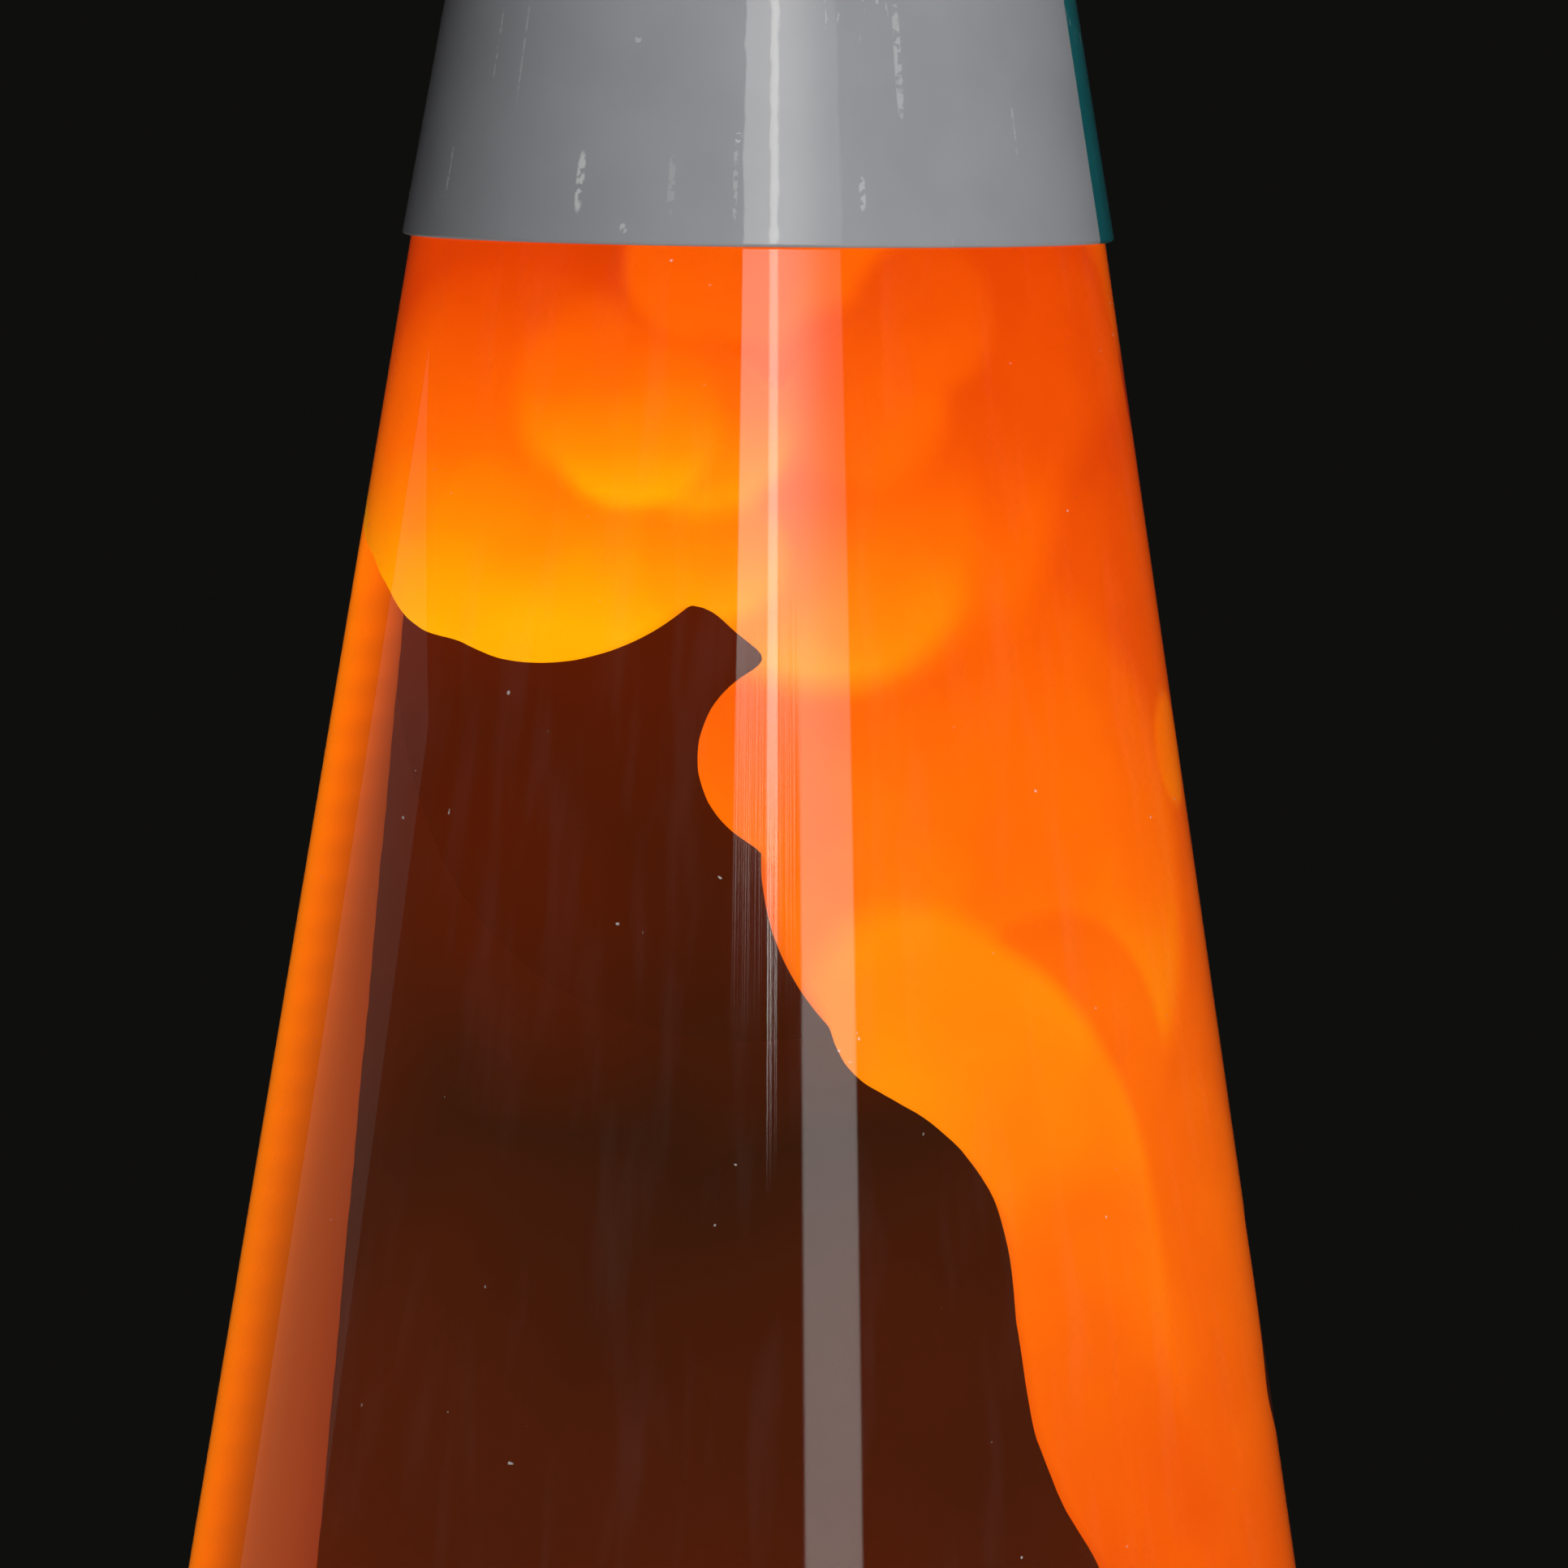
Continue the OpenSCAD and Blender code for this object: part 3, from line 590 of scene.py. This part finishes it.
# The wax's lower edge at the right: places on the wall, as turn and height, that a row of blobs
# follows. Its glow, which is painted light, rises from one value to another between two heights.
EDGE_PLACES = [
    (21, 266.5), (29, 263), (36.5, 258), (41.5, 251.5), (43.3, 244.5), (43.3, 237), (44, 228),
    (46.5, 222), (51, 216), (53.5, 208), (55, 195), (57, 180), (60, 165), (64, 150),
]
EDGE_STEP = 2
EDGE_RADIUS = 8
EDGE_SOFTNESS = 5
EDGE_GLOW_LOW = 0.44
EDGE_GLOW_HIGH = 0.80
EDGE_DIM_BELOW = 209
EDGE_BRIGHT_ABOVE = 261
for (turn_a, height_a), (turn_b, height_b) in zip(EDGE_PLACES, EDGE_PLACES[1:]):
    steps = math.ceil((height_a - height_b) / EDGE_STEP)
    for step in range(steps):
        share = step / steps
        turn = turn_a + (turn_b - turn_a) * share
        height = height_a + (height_b - height_a) * share
        rise = (height - EDGE_DIM_BELOW) / (EDGE_BRIGHT_ABOVE - EDGE_DIM_BELOW)
        glow = EDGE_GLOW_LOW + (EDGE_GLOW_HIGH - EDGE_GLOW_LOW) * min(max(rise, 0), 1)
        WAX_BLOBS.append(Blob(turn, 0, height, EDGE_RADIUS, EDGE_SOFTNESS, glow, glow))

# A column of wax that climbs the wall at the left and is thicker lower down. It has a bright core of
# painted light, and the liquid veils the side of it that is farther from the wall, as painted shade.
COLUMN_TURN = -97
COLUMN_LOW = 150
COLUMN_HIGH = 310
COLUMN_STEP = 4
COLUMN_GLOW = 1.5
# Its radius at the top and its growth down to the foot, in millimetres. The veiled side is a little
# thicker, and the core is a share of the column.
COLUMN_TOP_R = 5.0
COLUMN_GROWTH = 6.2
VEILED_MORE = 0.2
VEILED_GROWTH = 1.4
VEILED_DEPTH = 1.1
CORE_SHARE = 0.62
CORE_GROWTH = 0.2


def column_share(height):
    """How far down the column a height is, from 0 at its top to 1 at its foot."""
    return (COLUMN_HIGH - height) / (COLUMN_HIGH - COLUMN_LOW)


for height in range(COLUMN_LOW, COLUMN_HIGH, COLUMN_STEP):
    low = column_share(height)
    swell = COLUMN_TOP_R + COLUMN_GROWTH * low
    veiled_r = swell + VEILED_GROWTH * low + VEILED_MORE
    depth = VEILED_DEPTH * veiled_r
    core_r = (CORE_SHARE + CORE_GROWTH * low) * swell
    WAX_BLOBS += [
        Blob(COLUMN_TURN - 3, depth, height, veiled_r, 3, COLUMN_GLOW, COLUMN_GLOW, 1),
        Blob(COLUMN_TURN, 3, height, core_r, 7, COLUMN_GLOW, COLUMN_GLOW),
    ]

# The column's far side, which the front doesn't show, with a painted glow that stands in for the
# bulb's light in the wax. Its turn and its radius have a value at the top, a change down to the foot,
# and a sway on the way.
FAR_SIDE_HIGH = 272
FAR_SIDE_GLOW = 1.1
FAR_SIDE_TURN = -110
FAR_SIDE_TURN_CHANGE = -4
FAR_SIDE_TURN_SWAY = -5
FAR_SIDE_R = 4
FAR_SIDE_R_CHANGE = 6
FAR_SIDE_R_SWAY = 1.6
SWAY_LENGTH = 17
for height in range(COLUMN_LOW, FAR_SIDE_HIGH, COLUMN_STEP):
    low = column_share(height)
    sway = math.sin(height / SWAY_LENGTH)
    turn = FAR_SIDE_TURN + FAR_SIDE_TURN_SWAY * sway + FAR_SIDE_TURN_CHANGE * low
    radius = FAR_SIDE_R + FAR_SIDE_R_CHANGE * low + FAR_SIDE_R_SWAY * sway
    WAX_BLOBS.append(Blob(turn, 4, height, radius, 5, FAR_SIDE_GLOW, FAR_SIDE_GLOW))

# The pool on the globe's floor, lying on the heating coil: a ring of blobs round a larger one. Their
# undersides get the brightest painted glow, as the bulb lights them from below.
POOL_TOP = 160
POOL_BLOBS = 9
POOL_BLOB_R = 17
POOL_BLOB_DROP = 16
POOL_STAGGER = 3
POOL_MIDDLE_R = 26
POOL_MIDDLE_DROP = 15
for i in range(POOL_BLOBS):
    height = POOL_TOP - POOL_BLOB_DROP + POOL_STAGGER * (i % 3)
    WAX_BLOBS.append(Blob(360 * i / POOL_BLOBS, 15, height, POOL_BLOB_R, 8, 0.75, 1.3))
to_axis = inside_radius(POOL_TOP * MM) / MM
WAX_BLOBS.append(Blob(0, to_axis, POOL_TOP - POOL_MIDDLE_DROP, POOL_MIDDLE_R, 8, 0.80, 1.4))

# ---------------------------------------------------------------- the wax's mesh

# The liquid between the wax and the glass, and the wax's distances from the coil's top and the level
FILM = 0.5 * MM
COIL_DEPTH_IN_WAX = 3 * MM
WAX_BELOW_LEVEL = 4 * MM
# The size of the cells that the blobs are joined with, and how the joined skin is smoothed
WAX_CELL = 1.0 * MM
WAX_SMOOTHING_TIMES = 10
WAX_SMOOTHING = 0.7
# The painted glow of wax that no blob reaches
WAX_GLOW = 0.4


def blob_centre(blob):
    a = math.radians(blob.turn)
    r = inside_radius(blob.height * MM) - blob.depth * MM
    return Vector((r * math.sin(a), -r * math.cos(a), blob.height * MM))


def wax_mesh():
    """All the blobs joined into one smooth closed skin that stays inside the glass."""
    centres = [blob_centre(blob) for blob in WAX_BLOBS]
    balls = [ball(centre, blob.radius * MM) for centre, blob in zip(centres, WAX_BLOBS)]
    bpy.ops.object.select_all(action="DESELECT")
    for b in balls:
        b.select_set(True)
    bpy.context.view_layer.objects.active = balls[0]
    bpy.ops.object.join()
    obj = bpy.context.object
    obj.name = "wax_blobs"
    bpy.ops.object.transform_apply(location=True, rotation=True, scale=True)
    remesh = obj.modifiers.new("one_skin", "REMESH")
    remesh.mode = "VOXEL"
    remesh.voxel_size = WAX_CELL
    bpy.ops.object.modifier_apply(modifier=remesh.name)
    keep_inside(obj.data)
    smooth = obj.modifiers.new("soften", "SMOOTH")
    smooth.iterations = WAX_SMOOTHING_TIMES
    smooth.factor = WAX_SMOOTHING
    bpy.ops.object.modifier_apply(modifier=smooth.name)
    keep_inside(obj.data)
    for name, values in zip(("glow", "veil"), glow_and_veil(places_of(obj.data), centres)):
        attribute = obj.data.attributes.new(name, "FLOAT", "POINT")
        attribute.data.foreach_set("value", values.astype(np.float32))
    for polygon in obj.data.polygons:
        polygon.use_smooth = True
    return obj


def places_of(mesh):
    places = np.empty(len(mesh.vertices) * 3, dtype=np.float32)
    mesh.vertices.foreach_get("co", places)
    return places.reshape(-1, 3)


def keep_inside(mesh):
    """Moves each vertex that is past the globe's wall back to a thin film of liquid inside it."""
    places = places_of(mesh)
    wall = [point for point in inside_path if point[0] > 0]
    reach = np.interp(places[:, 2], [z for r, z in wall], [r for r, z in wall]) - FILM
    r = np.hypot(places[:, 0], places[:, 1])
    pull = np.minimum(1, reach / np.maximum(r, MM))
    places[:, 0] *= pull
    places[:, 1] *= pull
    lowest = COIL_TOP_Z - COIL_DEPTH_IN_WAX
    places[:, 2] = np.clip(places[:, 2], lowest, LEVEL_Z - WAX_BELOW_LEVEL)
    mesh.vertices.foreach_set("co", places.ravel())
    mesh.update()


def glow_and_veil(places, centres):
    """How brightly the wax's painted light glows at each place, and how far painted shade veils it: each
    blob in turn covers the ones before it, and goes from its top's glow to its underside's, which is
    brighter where the bulb lights it from below."""
    glow = np.full(len(places), WAX_GLOW)
    veil = np.zeros(len(places))
    for centre, blob in zip(centres, WAX_BLOBS):
        radius = blob.radius * MM
        away = np.linalg.norm(places - np.array(centre), axis=1)
        share = np.clip((radius - away) / (blob.edge * MM) + 1, 0, 1)
        share = share * share * (3 - 2 * share)
        low = np.clip(0.5 + 0.5 * (centre.z - places[:, 2]) / radius, 0, 1)
        glow += share * (blob.top + (blob.under - blob.top) * low - glow)
        veil += share * (blob.veil - veil)
    return glow, veil


wax = wax_mesh()
paint_over(wax, wax_material())
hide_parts("wax")
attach(wax, "globe")

# ---------------------------------------------------------------- finishes of the CAD nodes

paint = painted_metal()
rubber = mottled("rubber", (0.018, 0.018, 0.019), (0.034, 0.033, 0.032), 0.75, 2200, 0.5)
steel = worn_metal("zinc_steel", (0.66, 0.67, 0.68), (0.46, 0.46, 0.45), 0.32)
wire = worn_metal("nickel_wire", (0.60, 0.57, 0.52), (0.38, 0.35, 0.31), 0.35)
solder = worn_metal("solder", (0.62, 0.62, 0.62), (0.40, 0.40, 0.40), 0.45)
pipe = worn_metal("plated_pipe", (0.70, 0.60, 0.38), (0.45, 0.37, 0.24), 0.34)
brass = worn_metal("brass", (0.80, 0.60, 0.28), (0.52, 0.35, 0.15), 0.28)
crown = worn_metal("lacquered_crown", (0.83, 0.64, 0.28), (0.70, 0.50, 0.20), 0.25, coat=0.6)
coil_steel = worn_metal("spring_steel", (0.58, 0.56, 0.52), (0.36, 0.33, 0.29), 0.30)
aluminium = worn_metal("bulb_aluminium", (0.82, 0.82, 0.84), (0.60, 0.60, 0.61), 0.28)
porcelain = mottled("porcelain", (0.80, 0.78, 0.72), (0.74, 0.70, 0.62), 0.30, 700, 0.15, coat=1.0)
black_glass = mottled("black_glass", (0.010, 0.010, 0.013), (0.022, 0.020, 0.028), 0.12, 500, 0.1)
dark_plate = mottled("plate_paint", (0.026, 0.026, 0.028), (0.040, 0.040, 0.041), 0.42, 1500, 0.5)
liner = mottled("liner_plastic", (0.78, 0.77, 0.70), (0.70, 0.67, 0.58), 0.55, 1200, 0.3)
bulb_glass = clear_glass("bulb_glass", 1.45)

FINISHES = {
    "base_shell": paint, "cap_shell": paint, "bottom_plate": dark_plate,
    "plate_screws": steel, "lock_nut_lower": steel, "lock_nut_upper": steel,
    "lock_washer": steel, "socket_terminal_screws": steel, "lamp_pipe": pipe,
    "foot_1": rubber, "foot_2": rubber, "foot_3": rubber, "foot_4": rubber,
    "cord_grommet": rubber, "socket_body": porcelain, "socket_screw_shell": brass,
    "socket_centre_contact": brass, "socket_terminals": brass,
    "bulb_envelope": bulb_glass, "bulb_stem": bulb_glass, "bulb_screw_shell": aluminium,
    "bulb_insulator": black_glass, "bulb_contact": solder, "bulb_lead_wires": wire,
    "bulb_support_wires": wire, "crown_liner": liner,
}
for name, finish in FINISHES.items():
    paint_over(NODES[name], finish)
    for polygon in NODES[name].data.polygons:
        polygon.use_smooth = True
    NODES[name].data.set_sharp_from_angle(angle=math.radians(SHARP_ON_CAD))

# ---------------------------------------------------------------- pieces that need finer shapes


def tube(name, points, sideways, radius, sides, closed):
    """A wire along points. sideways gives, for each point, a direction that is not along the wire."""
    verts, faces = [], []
    count = len(points)
    for i, point in enumerate(points):
        after = points[(i + 1) % count] if closed or i < count - 1 else point
        before = points[i - 1] if closed or i else point
        along = (after - before).normalized()
        side = (sideways[i] - along * sideways[i].dot(along)).normalized()
        other = along.cross(side)
        for k in range(sides):
            a = 2 * math.pi * k / sides
            verts.append(point + radius * (side * math.cos(a) + other * math.sin(a)))
    for i in range(count if closed else count - 1):
        low, high = i * sides, (i + 1) % count * sides
        for k in range(sides):
            j = (k + 1) % sides
            faces.append((low + k, low + j, high + j, high + k))
    if not closed:
        faces.append(tuple(reversed(range(sides))))
        faces.append(tuple(range((count - 1) * sides, count * sides)))
    return smooth_mesh(name, verts, faces)


def smooth_mesh(name, verts, faces, sharp=SHARP_ON_PIECES):
    mesh = bpy.data.meshes.new(name)
    mesh.from_pydata(verts, [], faces)
    for polygon in mesh.polygons:
        polygon.use_smooth = True
    mesh.set_sharp_from_angle(angle=math.radians(sharp))
    obj = bpy.data.objects.new(name, mesh)
    bpy.context.scene.collection.objects.link(obj)
    return obj


def ring_coil(name, ring_r, ring_z, coil_r, wire_r, turns, start, sweep, steps, sides):
    """A wire wound round a ring, or round the part of it from the angle start over the angle sweep."""
    closed = sweep == 360
    points, sideways = [], []
    count = turns * steps + (0 if closed else 1)
    for i in range(count):
        share = i / (turns * steps)
        a = math.radians(start + sweep * share)
        out = Vector((math.cos(a), math.sin(a), 0))
        winding = 2 * math.pi * turns * share
        away = out * math.cos(winding) + Vector((0, 0, 1)) * math.sin(winding)
        points.append(out * ring_r + Vector((0, 0, ring_z)) + away * coil_r)
        sideways.append(away)
    return tube(name, points, sideways, wire_r, sides, closed)


def middle_z(name):
    low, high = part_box(name)
    return (low.z + high.z) / 2

# The heating coil: one spring, bent round until its ends meet
COIL_WIRE_R = 0.7 * MM
coil_low, coil_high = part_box("heating_coil")
COIL_TURN_R = (coil_high.z - coil_low.z) / 2 - COIL_WIRE_R
heating_coil = ring_coil(
    "heating_coil_spring", ring_r=coil_high.x - COIL_TURN_R - COIL_WIRE_R,
    ring_z=middle_z("heating_coil"), coil_r=COIL_TURN_R, wire_r=COIL_WIRE_R,
    turns=36, start=0, sweep=360, steps=20, sides=10,
)
paint_over(heating_coil, coil_steel)
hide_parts("heating_coil")
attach(heating_coil, "globe")

# The filament: a fine coil that hangs in a half ring
FILAMENT_WIRE_R = 0.09 * MM
filament_low, filament_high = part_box("bulb_filament")
FILAMENT_R = (filament_high.z - filament_low.z) / 2
filament = ring_coil(
    "glowing_filament", ring_r=filament_high.x - FILAMENT_R,
    ring_z=middle_z("bulb_filament"), coil_r=FILAMENT_R - FILAMENT_WIRE_R, wire_r=FILAMENT_WIRE_R,
    turns=72, start=180, sweep=180, steps=12, sides=6,
)
paint_over(filament, hot_filament())
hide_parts("bulb_filament")
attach(filament, "bulb_core")

# The crown closure: a pressed cup, its skirt crimped into flutes that stand out more lower down
CROWN_T = 0.35 * MM
CROWN_FLUTES = 21
FLUTE_STEPS = 14
FLUTE_DEPTH = 0.85 * MM
# Where the points of its flat top lie, as shares of its radius, and the steps down its edge and skirt
CROWN_TOP_SHARES = (0, 0.3, 0.6, 0.85)
CROWN_EDGE_R = 1.2 * MM
CROWN_EDGE_STEPS = 6
CROWN_SKIRT_STEPS = 14
CROWN_SKIRT_SPREAD = 0.15 * MM
# How far the CAD crown's flutes stand out past the plain side above them
CROWN_SIDE_INSET = 1.0 * MM


def crown_outline():
    """The crown's outside as (radius, height, how far the flutes stand out), from its middle down."""
    low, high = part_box("crown_cap")
    side_r = high.x - CROWN_SIDE_INSET
    edge_z = high.z - CROWN_EDGE_R
    points = [(share * (side_r - CROWN_EDGE_R), high.z, 0) for share in CROWN_TOP_SHARES]
    for i in range(CROWN_EDGE_STEPS + 1):
        a = math.radians(90 - 90 * i / CROWN_EDGE_STEPS)
        r = side_r - CROWN_EDGE_R + CROWN_EDGE_R * math.cos(a)
        points.append((r, edge_z + CROWN_EDGE_R * math.sin(a), 0))
    for i in range(1, CROWN_SKIRT_STEPS + 1):
        share = i / CROWN_SKIRT_STEPS
        swell = share * share * (3 - 2 * share)
        r = side_r + CROWN_SKIRT_SPREAD * swell
        points.append((r, edge_z + (low.z - edge_z) * share, FLUTE_DEPTH * swell))
    return points


def crown_inside(outside):
    """The inside of the crown's sheet. It lies under the top, and inwards of the skirt."""
    points = []
    for i, (r, z, out) in enumerate(outside):
        past_top = (i - len(CROWN_TOP_SHARES)) / CROWN_EDGE_STEPS
        drop = CROWN_T * min(max(1 - past_top, 0), 1)
        points.append((max(r - CROWN_T, 0), z - drop, out))
    return points


def crown_mesh():
    outside = crown_outline()
    steps = CROWN_FLUTES * FLUTE_STEPS
    verts, rings = [], []
    for r, z, out in outside + crown_inside(outside)[::-1]:
        if r == 0:
            rings.append([len(verts)] * steps)
            verts.append((0, 0, z))
            continue
        rings.append(range(len(verts), len(verts) + steps))
        for k in range(steps):
            a = 2 * math.pi * k / steps
            wave = abs(math.sin(CROWN_FLUTES * a / 2)) - 0.5
            reach = r + out * wave
            verts.append((reach * math.cos(a), reach * math.sin(a), z))
    faces = []
    for low, high in zip(rings, rings[1:]):
        for k in range(steps):
            j = (k + 1) % steps
            corners = (low[j], low[k], high[k], high[j])
            faces.append(tuple(dict.fromkeys(corners)))
    return smooth_mesh("fluted_crown", verts, faces, sharp=SHARP_ON_CROWN)


fluted_crown = crown_mesh()
paint_over(fluted_crown, crown)
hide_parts("crown_cap")
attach(fluted_crown, "globe")

# ---------------------------------------------------------------- floor, light and camera

scene = bpy.context.scene
scene.view_settings.view_transform = "Standard"

BACKDROP = (0.0048, 0.0047, 0.0042, 1)
world = bpy.data.worlds.new("studio")
world.use_nodes = True
world.node_tree.nodes["Background"].inputs["Color"].default_value = BACKDROP
scene.world = world

FLOOR_R = 1.2
bpy.ops.mesh.primitive_circle_add(vertices=128, radius=FLOOR_R, fill_type="NGON")
floor = bpy.context.object
floor.name = "floor"
paint_over(floor, mottled("pale_floor", (0.74, 0.73, 0.71), (0.70, 0.69, 0.67), 0.7, 300, 0.1))

# What the lights and the camera face
LIT_POINT = Vector((0, 0, 287 * MM))
TARGET = Vector((3.2 * MM, 0, 286 * MM))


def softbox(name, azimuth, height, distance, width, tall, strength, colour=(1, 1, 1), spread=180):
    """A flat light at an azimuth from the camera's side, positive to the right. It faces the lamp.
    strength is its radiance, and spread is how wide its light fans out, in degrees."""
    a = math.radians(azimuth)
    place = Vector((distance * math.sin(a), -distance * math.cos(a), height))
    data = bpy.data.lights.new(name, "AREA")
    data.shape = "RECTANGLE"
    data.size = width
    data.size_y = tall
    data.energy = strength * math.pi * width * tall
    data.color = colour
    data.spread = math.radians(spread)
    obj = bpy.data.objects.new(name, data)
    obj.location = place
    obj.rotation_euler = (LIT_POINT - place).to_track_quat("-Z", "Y").to_euler()
    obj.visible_camera = False
    scene.collection.objects.link(obj)
    return obj


# The tall strip light's pattern. Places across it go from 0 at the left of its reflection to 1 at the
# right, and places up it from 0 to 1. A pair says where something starts and where it is whole.
STRIP_LEFT_EDGE = (0.02, 0.04)
STRIP_RIGHT_SIDE = (0.54, 0.57)
STRIP_RIGHT_EDGE = (1.0, 0.97)
# The bright line's two edges, and how much it adds
STRIP_LINE_LEFT = (0.285, 0.30)
STRIP_LINE_RIGHT = (0.385, 0.365)
STRIP_LINE_GLOW = 1.5
# Where the left side ends, how far that ragged end goes down and up, how much lower the bright line
# ends, and half the length over which they fade out
STRIP_LEFT_END = 0.51
STRIP_RAGGED = (-0.05, 0.03)
STRIP_RAGGED_SCALE = 110
STRIP_LINE_LOWER = 0.04
STRIP_FADE = 0.03
# How far the right edge leans in at the foot, and how far up the strip the lean starts
STRIP_LEAN = 0.11
STRIP_LEAN_FROM = 0.65
# Left of its middle the strip is brighter by STRIP_LEFT_MORE. Right of it, the change goes from the
# first of STRIP_RIGHT_MORE to the second over the places STRIP_RIGHT_ACROSS. Both changes are gone
# low down, and come in over the places STRIP_MORE_UP.
STRIP_MIDDLE = (0.33, 0.36)
STRIP_LEFT_MORE = 0.25
STRIP_RIGHT_MORE = (0.40, -0.65)
STRIP_RIGHT_ACROSS = (0.36, 0.95)
STRIP_MORE_UP = (0.44, 0.60)


def strip_pattern(light):
    """The tall strip light. Its right side is lit all the way down. Its left side has a brighter line
    and ends higher, with a ragged lower end."""
    light.use_nodes = True
    tree = light.node_tree
    shader = tree.nodes["Emission"]
    geometry = tree.nodes.new("ShaderNodeNewGeometry")
    axes = axes_of(tree, geometry.outputs["Parametric"])
    across, up = axes["X"], axes["Y"]

    in_line = product(tree, remap(tree, across, *STRIP_LINE_LEFT), remap(tree, across, *STRIP_LINE_RIGHT))
    fine = node(
        tree, "ShaderNodeTexNoise", {"noise_dimensions": "1D"},
        W=across, Scale=STRIP_RAGGED_SCALE, Detail=3,
    ).outputs[0]
    end = remap(tree, fine, 0.35, 0.65, *(STRIP_LEFT_END + part for part in STRIP_RAGGED))
    end = math_node(tree, "SUBTRACT", end, product(tree, in_line, STRIP_LINE_LOWER))
    above = math_node(tree, "SUBTRACT", up, end)
    left_side = product(
        tree,
        remap(tree, above, -STRIP_FADE, STRIP_FADE),
        remap(tree, across, *STRIP_LEFT_EDGE),
    )
    lit = math_node(tree, "MAXIMUM", left_side, remap(tree, across, *STRIP_RIGHT_SIDE))
    lean = remap(tree, up, STRIP_LEAN_FROM, 0.0, 0.0, STRIP_LEAN)
    leaning = math_node(tree, "ADD", across, lean)
    lit = product(tree, lit, remap(tree, leaning, *STRIP_RIGHT_EDGE))

    middle_left, middle_right = STRIP_MIDDLE
    right_of_middle = math_node(tree, "GREATER_THAN", across, middle_left)
    right_more = remap(tree, across, *STRIP_RIGHT_ACROSS, *STRIP_RIGHT_MORE)
    right_more = product(tree, right_more, right_of_middle)
    left_more = remap(tree, across, middle_right, middle_left, 0.0, STRIP_LEFT_MORE)
    more = math_node(tree, "ADD", right_more, left_more)
    more = product(tree, more, remap(tree, up, *STRIP_MORE_UP))
    body = product(tree, lit, math_node(tree, "ADD", more, 1.0))
    line = product(tree, in_line, left_side, STRIP_LINE_GLOW)
    tree.links.new(math_node(tree, "ADD", body, line), shader.inputs["Strength"])


strip = softbox(
    "key_strip", azimuth=11, height=0.525, distance=1.0, width=0.585, tall=0.75, strength=2.75,
    colour=(1.0, 0.98, 0.94),
)
strip_pattern(strip.data)
softbox(
    "key_high", azimuth=24, height=1.45, distance=1.15, width=1.0, tall=1.0, strength=1.36,
    spread=100,
)
softbox(
    "rear_high", azimuth=168, height=1.35, distance=1.2, width=1.0, tall=1.0, strength=1.4,
    spread=70,
)
softbox("side_left", azimuth=-112, height=0.25, distance=1.2, width=0.60, tall=0.40, strength=0.15)

# The camera stands a little over the cap's rim. FRAME_TALL is what the picture shows of the lamp, and
# ROLL is the photo's slight tilt.
CAMERA_DISTANCE = 1.1
CAMERA_OVER_RIM = 30 * MM
FRAME_TALL = 156.6 * MM
ROLL = math.radians(0.656)
SENSOR_WIDTH = 36
camera_data = bpy.data.cameras.new("camera")
camera_data.sensor_width = SENSOR_WIDTH
camera_data.lens = SENSOR_WIDTH * CAMERA_DISTANCE / FRAME_TALL
camera = bpy.data.objects.new("camera", camera_data)
camera.location = Vector((TARGET.x, -CAMERA_DISTANCE, CAP_RIM_Z + CAMERA_OVER_RIM))
look = (TARGET - camera.location).to_track_quat("-Z", "Y")
camera.rotation_mode = "QUATERNION"
camera.rotation_quaternion = look @ Matrix.Rotation(ROLL, 4, "Z").to_quaternion()
scene.collection.objects.link(camera)
scene.camera = camera
